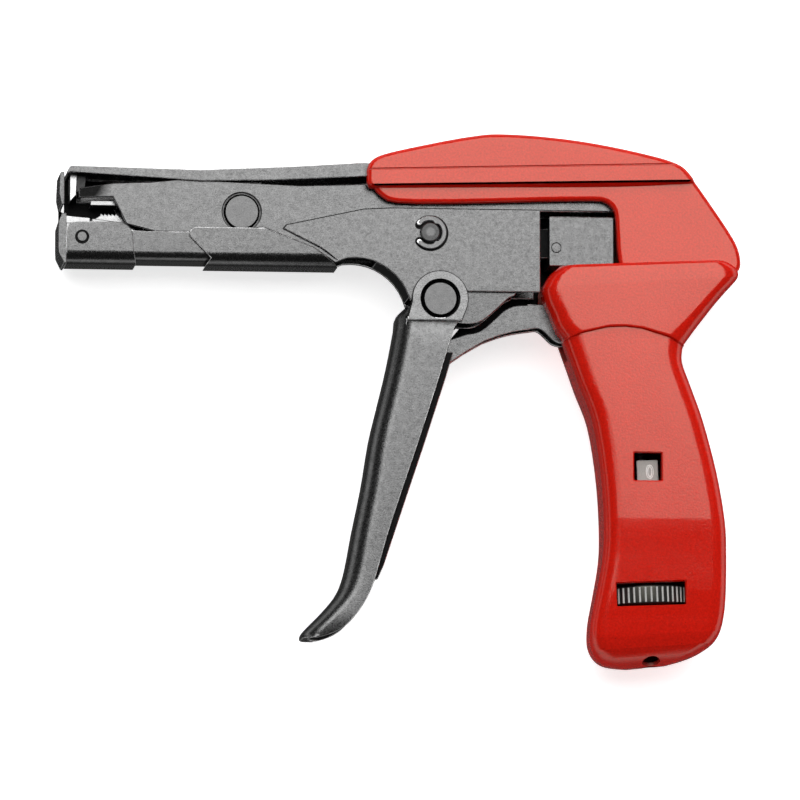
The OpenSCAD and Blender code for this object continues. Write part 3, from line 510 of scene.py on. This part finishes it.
# Middle as a share of the back, depth, width, tilt, bow and thickness: the pads, then the grip below them
pads = [(0.674, 0.01, 1.349, 2.6, 0, 0.93), (0.674, 0.017, 1.41, 2.8, 0, 0.975),
        (0.673, 0.032, 1.516, 3, 0, 0.99), (0.664, 0.059, 1.571, 4, 0, 1), (0.646, 0.095, 1.44, 3.8, 0, 1),
        (0.634, 0.126, 1.306, 3.1, 0, 1), (0.617, 0.172, 1.119, 1.2, 0.06, 1),
        (0.609, 0.203, 0.97, -1.8, 0.13, 1)]
stem = [(0.608, 0.211, 0.96, -2, 0.14, 0.928), (0.618, 0.252, 0.901, 0, 0.06, 0.928),
        (0.646, 0.311, 0.897, 1, 0, 0.928), (0.689, 0.399, 0.897, 0, 0, 0.928),
        (0.725, 0.526, 0.94, -1, 0, 0.928), (0.743, 0.643, 0.976, 0, 0, 0.928),
        (0.744, 0.727, 0.996, 1.4, 0, 0.888), (0.733, 0.819, 1.044, 0.9, 0, 0.848),
        (0.722, 0.878, 1.071, 2.5, 0, 0.8), (0.714, 0.923, 1.048, 3.9, 0, 0.768),
        (0.707, 0.952, 0.968, 4.2, 0, 0.688), (0.696, 0.974, 0.817, 4.7, 0, 0.544),
        (0.686, 0.988, 0.62, 4.8, 0, 0.36), (0.684, 0.997, 0.35, 4.8, 0, 0.12)]
gripEdge = 4.2
quarter = [math.radians(a) for a in (0, 18, 36, 54, 72, 90)]


def curved(row, i, t):
    a, b, c, d = (row[min(max(i + k, 0), len(row) - 1)] for k in (-1, 0, 1, 2))
    return [q + 0.5 * t * (r - p + t * (2 * p - 5 * q + 4 * r - s + t * (3 * (q - r) + s - p)))
            for p, q, r, s in zip(a, b, c, d)]


# Rows between the table's rows: smooth in plan, straight in thickness so that its kink stays
def fuller(row, steps, late=0.95):
    made = []
    for i in range(len(row) - 1):
        for t in [k / steps for k in range(steps)] + [late]:
            made.append(curved(row, i, t)[:5] + [row[i][5] + t * (row[i + 1][5] - row[i][5])])
    return made + [list(row[-1])]


# Corners rounded: a sharp one only within its reach, a slight one over the whole of its sides
def eased(points, turn=35, reach=1.7, steps=4):
    made, n = [], len(points)
    for i, p in enumerate(points):
        a, b = points[i - 1] - p, points[(i + 1) % n] - p
        most = 60 if (-a).normalized().dot(b.normalized()) > math.cos(math.radians(turn)) else reach
        q, r = p + a * min(0.48, most / a.length), p + b * min(0.48, most / b.length)
        for k in range(steps + 1):
            t = k / steps
            made.append((1 - t) ** 2 * q + 2 * t * (1 - t) * p + t * t * r)
    return made


# A clockwise outline moved inwards, each side by its own distance
def inset(points, far):
    made, n = [], len(points)
    far = far if isinstance(far, list) else [far] * n
    for i, p in enumerate(points):
        before, after = (p - points[i - 1]).normalized(), (points[(i + 1) % n] - p).normalized()
        a, b = Vector((before.y, -before.x)), Vector((after.y, -after.x))
        da, db = far[i - 1], far[i]
        cross = a.x * b.y - a.y * b.x
        if abs(cross) < 0.05 or da == db:
            made.append(p + (da * a + db * b) / (1 + a.dot(b)))
        else:
            made.append(p + Vector((da * b.y - db * a.y, db * a.x - da * b.x)) / cross)
    return made


def skinned(rings):
    bm = bmesh.new()
    rows = [[bm.verts.new(p) for p in ring] for ring in rings]
    n = len(rows[0])
    for low, high in zip(rows, rows[1:]):
        for i in range(n):
            bm.faces.new((low[i], low[(i + 1) % n], high[(i + 1) % n], high[i]))
    bm.faces.new(rows[0][::-1])
    bm.faces.new(rows[-1])
    bmesh.ops.recalc_face_normals(bm, faces=bm.faces)
    return bm


def raised(points, z):
    return [(p[0], p[1], z) for p in points]


def prism(points, low, high):
    return skinned([raised(points, low), raised(points, high)])


def block(low, high, lowZ, highZ):
    (a, b), (c, d) = low, high
    a, c, b, d = min(a, c), max(a, c), min(b, d), max(b, d)
    return prism([Vector(p) for p in ((a, b), (a, d), (c, d), (c, b))], lowZ, highZ)


def along(start, end, width):
    step = (end - start).normalized()
    out = Vector((step.y, -step.x)) * width / 2
    return [start - out, end - out, end + out, start + out]


# The level part with the pads' and the grip's edges rounded, from the parting plane up
def hoodForm():
    outline = eased([onHood(*p) for p in housing["outline"]])
    seam, top, r = housing["seam"], housing["flangeHalf"] - housing["lift"], housing["flangeEdge"]
    rings = [(seam, 0), (0, seam)] + [(r * (1 - math.cos(a)), top - r + r * math.sin(a)) for a in quarter]
    return skinned([raised(inset(outline, d), z) for d, z in rings])


# The panel raised above the hood; its lower side slopes down to the step line
def panelForm():
    first, last = housing["panelFirst"], housing["panelLast"]
    upper = [onHood(*p) for p in housing["outline"][first:last + 1]]
    perCorner, sunk = 5, 0.1
    corners = eased(upper + [onHood(*p) for p in housing["stepLine"]], steps=perCorner - 1)
    lower = range(len(upper) * perCorner + 2, len(corners) - 3)
    far = lambda d, s: [s if i in lower else d for i in range(len(corners))]
    lip, r, base = housing["lift"], housing["edge"], housing["flangeHalf"]
    top = housing["hoodHalf"] - lip
    rings = [(lip, -sunk, base - 2.5)]
    for a in quarter:
        z = top - r + r * math.sin(a)
        slope = max(0.0, (z - base) / (top - base)) * housing["slope"]
        rings.append((lip + r * (1 - math.cos(a)), slope - sunk, z))
    return skinned([raised(inset(corners, far(d, s)), z) for d, s, z in rings])


def gripRing(row, thin, draft):
    middle, depth, width, tilt, bow, thick = row
    w, h = width * tool["gripWidth"] - 2 * thin, thick * tool["half"] - thin - housing["lift"]
    r = min(max(gripEdge - thin, 0.8), w / 3, h * 0.6)
    c, seam, steps = inGrip(middle, depth), housing["seam"], 7
    bend = [math.radians(90 * k / steps) for k in range(steps + 1)]
    half = [(seam, 0), (0, seam)] + [(r - r * math.cos(a), h - r + r * math.sin(a)) for a in bend]
    across = half + [(w * s, h) for s in (0.36, 0.5, 0.64)] + [(w - x, z) for x, z in half[::-1]]
    rise = math.tan(math.radians(tilt))
    return [(c.x + (x - w / 2) * (1 - 2 * draft * z / h / w),
             c.y + (x - w / 2) * rise + 4 * bow * x * (1 - x / w), z) for x, z in across]


def gripForm(draft, thin=0.0, steps=4):
    upper, lower = fuller(pads, steps), fuller(stem, steps)
    lip = list(pads[-1])
    lip[1], lip[5] = lip[1] + 0.0035, lip[5] - 0.012
    cove = list(stem[0])
    cove[1], cove[5] = cove[1] - 0.001, cove[5] - 0.006
    return skinned([gripRing(row, thin, draft) for row in upper + [lip, cove] + lower])


# The thumbwheel, whose own frame has the tension screw's axis as Z
wheel = {"radius": 11.0, "thick": 4.7, "ribs": 48, "rib": 0.25, "ribShort": 1.1, "room": 0.3,
         "window": (8.3, 2.75), "bevel": 0.35, "notch": 2.2, "notchOut": 4.6, "lift": 0.1,
         "at": (0.694, 0.8255), "lean": 2.3}
screwFrame = (Matrix.Translation(inGrip(*wheel["at"]).to_3d())
              @ Matrix.Rotation(math.radians(wheel["lean"]), 4, "Z")
              @ Matrix.Rotation(math.radians(-90), 4, "X"))


def turned(profile, count=64, place=Matrix.Identity(4)):
    bm = skinned([[(r * math.cos(2 * math.pi * k / count), r * math.sin(2 * math.pi * k / count), z)
                   for k in range(count)] for r, z in profile])
    bm.transform(place)
    return bm


def windowCut(low, high, top, depth, bevel):
    grow = lambda d: [(low.x - d, low.y - d), (low.x - d, high.y + d), (high.x + d, high.y + d),
                      (high.x + d, low.y - d)]
    rings = [(0, top - depth), (0, top - bevel), (bevel, top), (bevel, top + 3)]
    return skinned([raised(eased([Vector(p) for p in grow(d)], reach=0.4), z) for d, z in rings])


screws = [(onHood(0, 0.66), 1), (onHood(0.658, 0.669), 1), (onHood(0.895, -0.048), 0.864),
          (inGrip(0.776, 0.161), 1.136), (inGrip(0.599, 0.939), 0.827)]
screwHead = {"radius": 2.8, "thick": 1.8, "deep": 1.0, "bore": 2.9}
numberWindow = (inGrip(0.6365, 0.547), inGrip(0.7285, 0.479))


def housingCuts(near):
    wall, room, half, over = tool["wall"], housing["room"], tool["half"], 1.0
    outline = [onHood(*p) for p in housing["outline"]]
    cuts = [prism(inset(outline, wall), -over, room),
            block(onHood(-0.3, 0.2), onHood(0.6, 0.62), -over, room),
            block(onHood(-0.3, 0.3), onHood(-0.082, 1.1), -over, housing["leverRoom"]),
            block(onBody(0.3, 0.28), onBody(0.87, -0.27), -over, housing["bodyRoom"]),
            block(onBody(0.5, 0), inGrip(0.86, 0.09), -over, housing["bodyRoom"]),
            block(onBody(0.3, -0.25), inGrip(0.6, 0.245), -over, housing["linkRoom"]),
            gripForm(0.0 if near else housing["draft"], wall, 2)]
    wide, tall = wheel["window"]
    gap = wheel["thick"] / 2 + wheel["room"]
    cuts.append(turned([(wheel["radius"] + 0.3, -gap), (wheel["radius"] + 0.3, gap)], 96, screwFrame))
    cuts.append(turned([(wheel["notch"], -26), (wheel["notch"], -13)], 32, screwFrame))
    if near:
        lowered = screwFrame @ Matrix.Translation((0, -wheel["notchOut"], 0))
        cuts.append(turned([(wheel["notch"], -20), (wheel["notch"], -14)], 32, lowered))
    bevel, face = wheel["bevel"], half * 0.85
    corners = ((-1, -1), (-1, 1), (1, 1), (1, -1))
    opened = skinned([[(x * (wide + d), -y, z * (tall + d) + wheel["lift"]) for x, z in corners] for d, y in
                      ((0, -over), (0, face - 0.35), (bevel, face + 0.15), (bevel * 4, half + over))])
    opened.transform(screwFrame)
    cuts.append((opened, "housing"))
    if near:
        cuts.append((windowCut(*numberWindow, half * 0.928 - housing["lift"], 3.2, 0.3), "housing"))
    crease, top = [onHood(*p) for p in housing["crease"]], housing["hoodHalf"]
    levels = (top - 0.45, top - housing["lift"], top + 0.4)
    groove = [raised(along(*crease, w), z) for w, z in zip(housing["creaseWidths"], levels)]
    cuts.append((skinned(groove), "housing"))
    if not near:
        r, flare = screwHead["radius"], screwHead["radius"] + 0.6
        for place, level in screws:
            face = level * top
            profile = [(r, face - screwHead["deep"] - screwHead["thick"]), (r, face - 0.35),
                       (flare, face + 0.25), (flare, half + over)]
            cuts.append(turned(profile, 40, Matrix.Translation((place.x, place.y, 0))))
    return cuts


def combined(obj, others, how):
    for i, bm in enumerate(others):
        # Faces a cutter leaves take the darker inside red, painted shade, unless it names a look
        bm, look = bm if isinstance(bm, tuple) else (bm, "inside")
        cutter = newObject("cutForm%d" % i, bm, [look], None)
        change = obj.modifiers.new("cut", "BOOLEAN")
        change.operation, change.object, change.solver = how, cutter, "MANIFOLD"
        change.material_mode = "TRANSFER"
        settled(obj)
        bpy.data.objects.remove(cutter)
    return obj


# One half of the housing with its part of the grip; the far half is its mirror image
def housingHalf(name, node, near):
    obj = newObject(name, hoodForm(), ["housing"], None)
    combined(obj, [panelForm(), gripForm(0.0 if near else housing["draft"])], "UNION")
    painted(obj, "housing")
    combined(obj, housingCuts(near), "DIFFERENCE")
    bm = bmesh.new()
    bm.from_mesh(obj.data)
    if not near:
        bmesh.ops.scale(bm, vec=(1, 1, -1), verts=bm.verts)
        bmesh.ops.reverse_faces(bm, faces=bm.faces)
    tiny = 0.004
    bmesh.ops.remove_doubles(bm, verts=bm.verts, dist=tiny)
    bmesh.ops.dissolve_degenerate(bm, edges=bm.edges, dist=tiny)
    bm.transform(toFrame)
    bm.to_mesh(obj.data)
    bm.free()
    finished(obj, 32)
    return ready(obj, "frame", "red_plastic", node)


housingHalf("nearHousing", "near_shell", True)
housingHalf("farHousing", "far_shell", False)
print("housing made")

# Trigger: front, back and depth below its pivot as shares of its length, lofted as one bent sheet
lever = {"length": 82.0, "half": 7.2, "bend": 4.6, "sheet": 1.5, "tip": 0.92, "earRadius": 6.8, "earIn": 7.25,
         "earOut": 8.75, "earFoot": 5.2, "earSpan": (-8.0, 5.25), "head": 4.25, "ring": 4.65,
         "ringDeep": 0.8, "lug": 4.5, "edge": 0.2, "taper": 14, "earTurn": (-20, 204)}
bentRows = [(-0.1, -0.045, 0.024), (-0.117, -0.02, 0.04), (-0.124, 0.062, 0.056), (-0.126, 0.043, 0.083),
            (-0.139, 0.021, 0.153), (-0.155, -0.001, 0.228), (-0.178, -0.031, 0.322), (-0.2, -0.061, 0.415),
            (-0.222, -0.106, 0.549), (-0.249, -0.149, 0.68), (-0.268, -0.178, 0.782), (-0.283, -0.194, 0.835),
            (-0.301, -0.209, 0.87), (-0.327, -0.227, 0.902), (-0.356, -0.25, 0.933), (-0.38, -0.273, 0.957),
            (-0.396, -0.3, 0.975), (-0.401, -0.331, 0.987), (-0.397, -0.36, 0.994)]
triggerFrame = Matrix.Translation((0, -triggerDrop, 0))


def sheetRing(row, steps=7):
    front, rear, down = (v * lever["length"] for v in row)
    past = max(0.0, row[2] - lever["tip"])
    half = lever["half"] * (1 - lever["taper"] * past * past)
    deep = rear - front
    r = min(lever["bend"], deep * 0.75, half * 0.75)
    t = min(lever["sheet"], deep * 0.34)
    inner = max(r - t, 0.25)
    bends = [math.radians(90 * k / steps) for k in range(steps + 1)]
    bend = lambda x, z, r: [(x + r * (1 - math.sin(a)), z - r * (1 - math.cos(a))) for a in bends]
    out, behind = [(rear, half)] + bend(front, half, r), [(rear, half - t)] + bend(front + t, half - t, inner)
    outer = out + [(x, -z) for x, z in out[::-1]]
    inside = behind + [(x, -z) for x, z in behind[::-1]]
    return [(x, -down, z) for x, z in outer + inside[::-1]]


def densed(rows, steps=3):
    made = []
    for i in range(len(rows) - 1):
        made += [curved(rows, i, k / steps) for k in range(steps)]
    return made + [list(rows[-1])]


def earForm(sign):
    r, foot, n = lever["earRadius"], -lever["earFoot"], 40
    start, turn = lever["earTurn"]
    around = [Vector((r * math.cos(a), r * math.sin(a))) for a in
              (math.radians(start + turn * k / n) for k in range(n + 1))]
    points = (around + [Vector((x, foot)) for x in lever["earSpan"]])[::-1]
    low, high = sorted((sign * lever["earIn"], sign * lever["earOut"]))
    return prism(points, low, high)


def triggerPiece():
    form = skinned([sheetRing(row) for row in bentRows[:3]] + [sheetRing(r) for r in densed(bentRows[3:])])
    obj = newObject("triggerLever", form, ["trigger"], None)
    combined(obj, [turned([(lever["lug"], -9), (lever["lug"], 9)], 48)], "DIFFERENCE")
    foot, (front, rear) = lever["earFoot"], lever["earSpan"]
    for sign in (1, -1):
        low, high = sorted((sign * (lever["half"] - lever["sheet"]), sign * lever["earOut"]))
        step = block((front + 0.1, -foot - 0.1), (rear - 0.05, -foot + 1), low, high)
        combined(obj, [earForm(sign), step], "UNION")
        edge, deep = sign * (lever["earOut"] + 1), sign * (lever["earOut"] - lever["ringDeep"])
        combined(obj, [turned([(lever["head"], sign * 5.5), (lever["head"], edge)][::sign], 48),
                       turned([(lever["ring"], deep), (lever["ring"], edge)][::sign], 48)], "DIFFERENCE")
    painted(obj, "trigger", "edge")
    obj.data.transform(toFrame @ triggerFrame)
    bevelled(obj, lever["edge"], 2, 42)
    # Painted shade: the broken edges above the ear's foot take the near-black gap look
    obj.data.materials.append(mats["gap"])
    for face in obj.data.polygons:
        spot = (face.center - Vector(pivotPlace)) / mm
        if face.material_index == 1 and spot.y > 0.6 - lever["earFoot"]:
            face.material_index = 2
    finished(obj)
    return ready(obj, "trigger", "black_steel", "trigger")


triggerPiece()

# Rivet heads with a dark ring painted into the groove as painted shade, and the clip on the guide pin with a
# dark sheet under it as its painted shadow on the plate
headed = {"rivet": 1.12, "ring": 1.7, "proud": 0.3, "groove": 0.14}
clip = {"outer": 4.1, "inner": 2.75, "open": 40, "tooth": 0.5, "edge": 0.28, "line": 0.26, "pin": 2.15}


def noseRivet():
    low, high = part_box("nose_rivet")
    middle, half = (low + high) / 2, (high.z - low.z) / 2 / mm
    bore = (high.x - low.x) / 2 / mm
    rivet, ring = headed["rivet"], headed["ring"]
    top = half + headed["proud"] - 0.25
    seat, groove = top - headed["proud"], top - headed["groove"]
    ends = [(bore, seat), (ring - 0.05, seat), (ring, seat + 0.08), (ring - 0.06, groove),
            (rivet + 0.06, groove), (rivet, top - 0.05), (rivet - 0.12, top)]
    bm = turned([(r, -z) for r, z in ends[::-1]] + ends, 48)
    obj = newObject("noseRivetHead", bm, ["pin", "gap"], Matrix.Translation(middle) @ Matrix.Scale(mm, 4))
    # Painted shade: the ring between the rivet and its rim takes the near-black gap look
    for face in obj.data.polygons:
        away = (face.center - middle).to_2d().length / mm
        face.material_index = 1 if rivet < away < ring + 0.1 and len(face.vertices) == 4 else 0
    finished(obj, 30)
    return ready(obj, "frame", "bright_steel", "nose_rivet")


# The clip's open ring with round ends and inner teeth; with inside set, a plain ring down to that radius
def clipShape(grow, inside=0.0):
    outer, inner = clip["outer"] + grow, inside or clip["inner"] - grow
    gape = math.radians(clip["open"]) - grow / outer
    n, r, middle = 36, (outer - inner) / 2, (outer + inner) / 2
    turn = lambda a, d: Vector((d * math.cos(a), d * math.sin(a)))
    roundEnd = [math.radians(b) for b in (30, 60, 90, 120, 150)]
    spread = [math.pi + gape + (2 * math.pi - 2 * gape) * k / n for k in range(n + 1)]
    first, last = spread[0], spread[-1]
    points = [turn(a, outer) for a in spread]
    points += [turn(last, middle) + turn(last + b, r) for b in roundEnd]
    for a in spread[::-1]:
        tooth = 0 if inside else clip["tooth"] * max(0.0, math.cos(3 * (a - math.pi))) ** 6
        points.append(turn(a, inner - tooth))
    return points + [turn(first, middle) + turn(first - b, r) for b in roundEnd[::-1]]


def guideClip():
    low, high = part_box("e_clip")
    pin = (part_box("guide_pin")[0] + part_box("guide_pin")[1]) / 2
    place = Matrix.Translation((pin.x, pin.y, 0)) @ Matrix.Scale(mm, 4)
    base, top, e = low.z / mm, high.z / mm, clip["edge"]
    levels = ((0, base), (0, top - e), (-e * 0.35, top - e * 0.35), (-e, top))
    rings = [raised(clipShape(grow), z) for grow, z in levels]
    obj = newObject("guideClip", skinned(rings), ["clip", "brightEdge"], place)
    count = len(clipShape(0))
    for face in obj.data.polygons[2 * count:3 * count]:
        face.material_index = 1
    finished(obj, 25)
    ready(obj, body_of(nodes["e_clip"])[0], "black_steel", "e_clip")
    # Painted shadow: a thin dark sheet round the clip, shifted down and right, lies on the plate
    shape = [p + Vector((0.12, -0.12)) for p in clipShape(clip["line"], clip["pin"] + 0.1)]
    line = skinned([raised(shape, base + 0.005), raised(shape, base + 0.06)])
    return ready(finished(newObject("guideClipShadow", line, ["gap"], place)), "frame", "black_steel")


noseRivet()
guideClip()

# Painted shade: dark sheets behind the openings, seen only through them, stand in for the shade there
shadeSheets = {
    "noseShadeSheet": {"body": "frame", "z": (-6.1, -4.8), "points": [
        (-89.4, 3.2), (-89.4, 10.6), (-76.0, 10.6), (-76.0, 3.2)]},
    "leverShadeSheet": {"body": "cutter_lever", "z": (-7.5, -6.4), "points": [
        (-89.2, 9.6), (-89.2, 15.6), (-84.0, 15.0), (-62.0, 13.2), (-62.0, 11.8)]},
    "rearShadeSheet": {"body": "frame", "z": (-8.1, -7.3), "points": [
        (22.0, -14.0), (22.0, 8.2), (44.5, 8.2), (44.5, -14.0)]},
    "lowShadeSheet": {"body": "frame", "z": (-8.1, -7.3), "points": [
        (4.4, -24.6), (4.4, -22.4), (7.4, -18.8), (8.8, -12.0), (23.0, -12.0), (23.0, -15.0), (16.0, -20.5),
        (9.5, -24.0)]},
}


def shieldSheets():
    for name, s in shadeSheets.items():
        obj = newObject(name, prism([Vector(p) for p in s["points"]], *s["z"]), ["gap", "gap"])
        finished(bevelled(obj, 0.2, 2))
        ready(obj, s["body"], "black_steel")


shieldSheets()
print("trigger made")

# Thumbwheel: ribs laid round a turned body by Geometry Nodes


def ribRing():
    net, take, give = makeGroup("ribRing", [
        ("Count", "Int", 48), ("Radius", "Float", 0.0106), ("Rib width", "Float", 0.0003),
        ("Rib length", "Float", 0.0036), ("Material", "Material", None)],
        [("Geometry", "Geometry")], "Geometry")
    add = lambda kind: net.nodes.new("GeometryNode" + kind)
    ring, rib, lay = add("MeshCircle"), add("MeshCylinder"), add("InstanceOnPoints")
    whole, paint, smooth = add("RealizeInstances"), add("SetMaterial"), add("SetShadeSmooth")
    rib.inputs["Vertices"].default_value = 10
    smooth.inputs["Shade Smooth"].default_value = False
    for a, b in ((take["Count"], ring.inputs["Vertices"]), (take["Radius"], ring.inputs["Radius"]),
                 (take["Rib width"], rib.inputs["Radius"]), (take["Rib length"], rib.inputs["Depth"]),
                 (ring.outputs["Mesh"], lay.inputs["Points"]), (rib.outputs["Mesh"], lay.inputs["Instance"]),
                 (lay.outputs[0], whole.inputs[0]), (whole.outputs[0], smooth.inputs["Geometry"]),
                 (smooth.outputs[0], paint.inputs["Geometry"]), (take["Material"], paint.inputs["Material"]),
                 (paint.outputs[0], give["Geometry"])):
        net.links.new(a, b)
    return net


def nodeMade(name, net, values, place):
    obj = newObject(name, bmesh.new(), [], None)
    change = obj.modifiers.new("made", "NODES")
    change.node_group = net
    keys = {item.name: item.identifier for item in net.interface.items_tree if item.in_out == "INPUT"}
    for label, value in values.items():
        change[keys[label]] = value
    settled(obj)
    obj.data.transform(place)
    return obj


def thumbWheel():
    r, t = wheel["radius"], wheel["thick"] / 2
    core = r - 0.42
    place = toFrame @ screwFrame
    profile = [(2.5, -t + 0.5), (3.4, -t), (core - 0.9, -t), (core - 0.15, -t + 0.35), (core, -t + 0.8),
               (core, t - 0.8), (core - 0.15, t - 0.35), (core - 0.9, t), (3.4, t), (2.5, t - 0.5)]
    body = finished(newObject("thumbwheelBody", turned(profile, 112), ["wheel"], place), 40)
    sizes = {"Count": wheel["ribs"], "Radius": (core + 0.02) * mm, "Rib width": wheel["rib"] * mm,
             "Rib length": (wheel["thick"] - wheel["ribShort"]) * mm, "Material": mats["rib"]}
    ribs = nodeMade("thumbwheelRibs", ribRing(), sizes, place @ Matrix.Scale(1 / mm, 4))
    finished(ribs, 50, False)
    ready(ribs, "tension_screw", "wheel_plastic")
    return ready(body, "tension_screw", "wheel_plastic", "thumbwheel")


thumbWheel()

# Number slide with its raised scale
slide = {"half": 2.6, "aside": 0.6, "thick": 1.1, "out": 8.8, "low": 12.2, "high": 32.4, "nut": 6.4,
         "foot": 4.5, "digit": 4.5, "firstDigit": 4.4, "pitch": 3.6, "line": 0.3, "raise": 0.22,
         "narrow": 0.85}


def numberSlide():
    s = slide
    place = toFrame @ screwFrame
    bar = block((s["aside"] - s["half"], -s["out"]), (s["aside"] + s["half"], s["thick"] - s["out"]),
                s["low"], s["high"])
    base = block((-s["half"], -s["out"] + 0.5), (s["half"], -s["nut"]), s["low"], s["low"] + s["foot"])
    plate = newObject("numberSlide", bar, ["slide"], place)
    foot = newObject("slideFoot", base, ["slide"], place)
    for obj in (plate, foot):
        finished(bevelled(obj, 0.25, 2))
    ready(foot, "tension_nut", "dial_plastic")
    return ready(plate, "tension_nut", "dial_plastic", "number_slide")


# A digit's outline stands up from the slide as a thin rim
def scaleDigit(index):
    s = slide
    text = bpy.data.curves.new("scaleDigit%d" % index, "FONT")
    text.body = str(index)
    text.size, text.extrude, text.bevel_depth = s["digit"] * mm, s["raise"] * 0.4 * mm, 0.06 * mm
    text.align_x, text.fill_mode = "CENTER", "NONE" if index == 0 else "BOTH"
    if index == 0:
        text.bevel_depth, text.extrude = s["line"] / 2 * mm, 0
    obj = bpy.data.objects.new("scaleDigit%d" % index, text)
    scene.collection.objects.link(obj)
    up = s["high"] - s["firstDigit"] - index * s["pitch"]
    mesh = bpy.data.meshes.new_from_object(obj)
    bpy.data.objects.remove(obj)
    made = bpy.data.objects.new("scaleDigit%d" % index, mesh)
    scene.collection.objects.link(made)
    stand = (Matrix.Translation((s["aside"] + 0.5, -s["out"] - s["raise"] * 0.2, up)) @
             Matrix.Rotation(math.radians(90), 4, "X") @ Matrix.Diagonal((s["narrow"], 1, 1, 1)) @
             Matrix.Scale(1 / mm, 4))
    mesh.transform(toFrame @ screwFrame @ stand)
    mesh.materials.clear()
    mesh.materials.append(mats["digit"])
    mesh.shade_smooth()
    return ready(made, "tension_nut", "dial_plastic")


numberSlide()
for index in range(5):
    scaleDigit(index)


# Housing screws with a cross recess, seen on the far side
def housingScrews():
    s = screwHead
    for i, (place, level) in enumerate(screws):
        face = level * housing["hoodHalf"]
        top, base = face - s["deep"], face - s["deep"] - s["thick"]
        shank, r = s["bore"] / 2, s["radius"]
        profile = [(shank, -6), (shank, base), (r - 0.15, base), (r, base + 0.2), (r, top - 0.55),
                   (r - 0.25, top - 0.2), (r * 0.6, top)]
        obj = newObject("housingScrew%d" % (i + 1), turned(profile, 48), ["bright"], None)
        arm, deep = r * 0.5, 1.1
        for turn in (0, 90):
            slotForm = skinned([raised(along(Vector((-arm * k, 0)), Vector((arm * k, 0)), w), z)
                                for k, w, z in ((0.5, 0.35, top - deep), (1, 0.62, top + 0.1))])
            bmesh.ops.rotate(slotForm, verts=slotForm.verts, cent=(0, 0, 0),
                             matrix=Matrix.Rotation(math.radians(turn + 20 * i), 3, "Z"))
            combined(obj, [slotForm], "DIFFERENCE")
        painted(obj, "bright")
        mirrored = Matrix.Translation((place.x, place.y, 0)) @ Matrix.Diagonal((1, 1, -1, 1))
        obj.data.transform(toFrame @ mirrored)
        obj.data.flip_normals()
        finished(obj, 30)
        ready(obj, "frame", "bright_steel", *(["housing_screws"] if i == 0 else []))


housingScrews()
print("wheel, slide and screws made")

# The nodes that keep their CAD form
plain = {"rocker_pivot_pin": "pin", "rocker_link_pin": "pin", "crosshead_pin": "pin", "pawl_pin": "bright",
         "spring_cap": "dark", "tension_screw": "bright", "tension_nut": "dark"}
for node, look in plain.items():
    for place in nodes[node].material_slots:
        place.material = mats[look]

# Two sheets of light overhead: a wide one that gives the shading, a narrower one that the surfaces mirror
# Each has its height and the angles of its left, right, low and high sides, seen from the tool
light = {"wideBox": {"level": 3.0, "height": 1.5, "sides": (-40, 45, 2.5, 64)},
         "mirrorBox": {"level": 3.25, "height": 1.2, "sides": (-26, 22, 3.7, 50)}}


def softBox(name):
    level, height, sides = light[name].values()
    left, right, low, high = (height * math.tan(math.radians(a)) for a in sides)
    lamp = bpy.data.lights.new(name, "AREA")
    lamp.shape, lamp.size, lamp.size_y = "RECTANGLE", right - left, high - low
    lamp.energy = level * math.pi * lamp.size * lamp.size_y
    obj = bpy.data.objects.new(name, lamp)
    obj.location = ((left + right) / 2, (low + high) / 2, height)
    obj.visible_camera = False
    scene.collection.objects.link(obj)
    return obj


# A white backdrop for the camera, and light only from low down for the tool
def surround():
    world = bpy.data.worlds.new("surround")
    world.use_nodes = True
    net = world.node_tree
    net.nodes.clear()
    where = net.nodes.new("ShaderNodeTexCoord").outputs["Generated"]
    up = put(net, "SeparateXYZ", {0: where}, 2)
    above = ranged(net, up, 0.02, 0.2, (1.0, 0.05), "SMOOTHSTEP")
    below = ranged(net, up, -0.6, -0.15, (0.07, 1.0), "SMOOTHSTEP")
    fade = maths(net, "MULTIPLY", above, below)
    path = net.nodes.new("ShaderNodeLightPath").outputs
    seen = maths(net, "MAXIMUM", path["Is Camera Ray"], path["Is Transmission Ray"])
    shiny = put(net, "Mix", {0: path["Is Glossy Ray"], 2: 0.2, 3: fade})
    level = put(net, "Mix", {0: seen, 2: shiny, 3: 1.0})
    end = net.nodes.new("ShaderNodeOutputWorld")
    net.links.new(put(net, "Background", {"Color": (1, 1, 1, 1), "Strength": level}), end.inputs["Surface"])
    scene.world = world


paper = {"tones": (0.79, 0.81), "glow": 0.7, "grain": 0.001, "size": 4, "drop": 0.0002}


def floorSheet():
    made, net, shader, where = newMaterial("paper")
    fine = use(net, mottle, {"Vector": where, "Size": paper["grain"], "Contrast": 1.0})
    net.links.new(mixed(net, fine, *(grey(tone) for tone in paper["tones"])), shader.inputs["Base Color"])
    shader.inputs["Roughness"].default_value = 1.0
    shader.inputs["Specular IOR Level"].default_value = 0.0
    shader.inputs["Emission Color"].default_value = (1, 1, 1, 1)
    shader.inputs["Emission Strength"].default_value = paper["glow"]
    bm = bmesh.new()
    bmesh.ops.create_grid(bm, x_segments=4, y_segments=4, size=paper["size"])
    obj = newObject("paperFloor", bm, [], Matrix.Translation((0, 0, -paper["drop"])))
    obj.data.materials.append(made)
    obj.visible_glossy = False


softBox("wideBox").visible_glossy = False
softBox("mirrorBox").visible_diffuse = False
surround()
floorSheet()
print("light made")
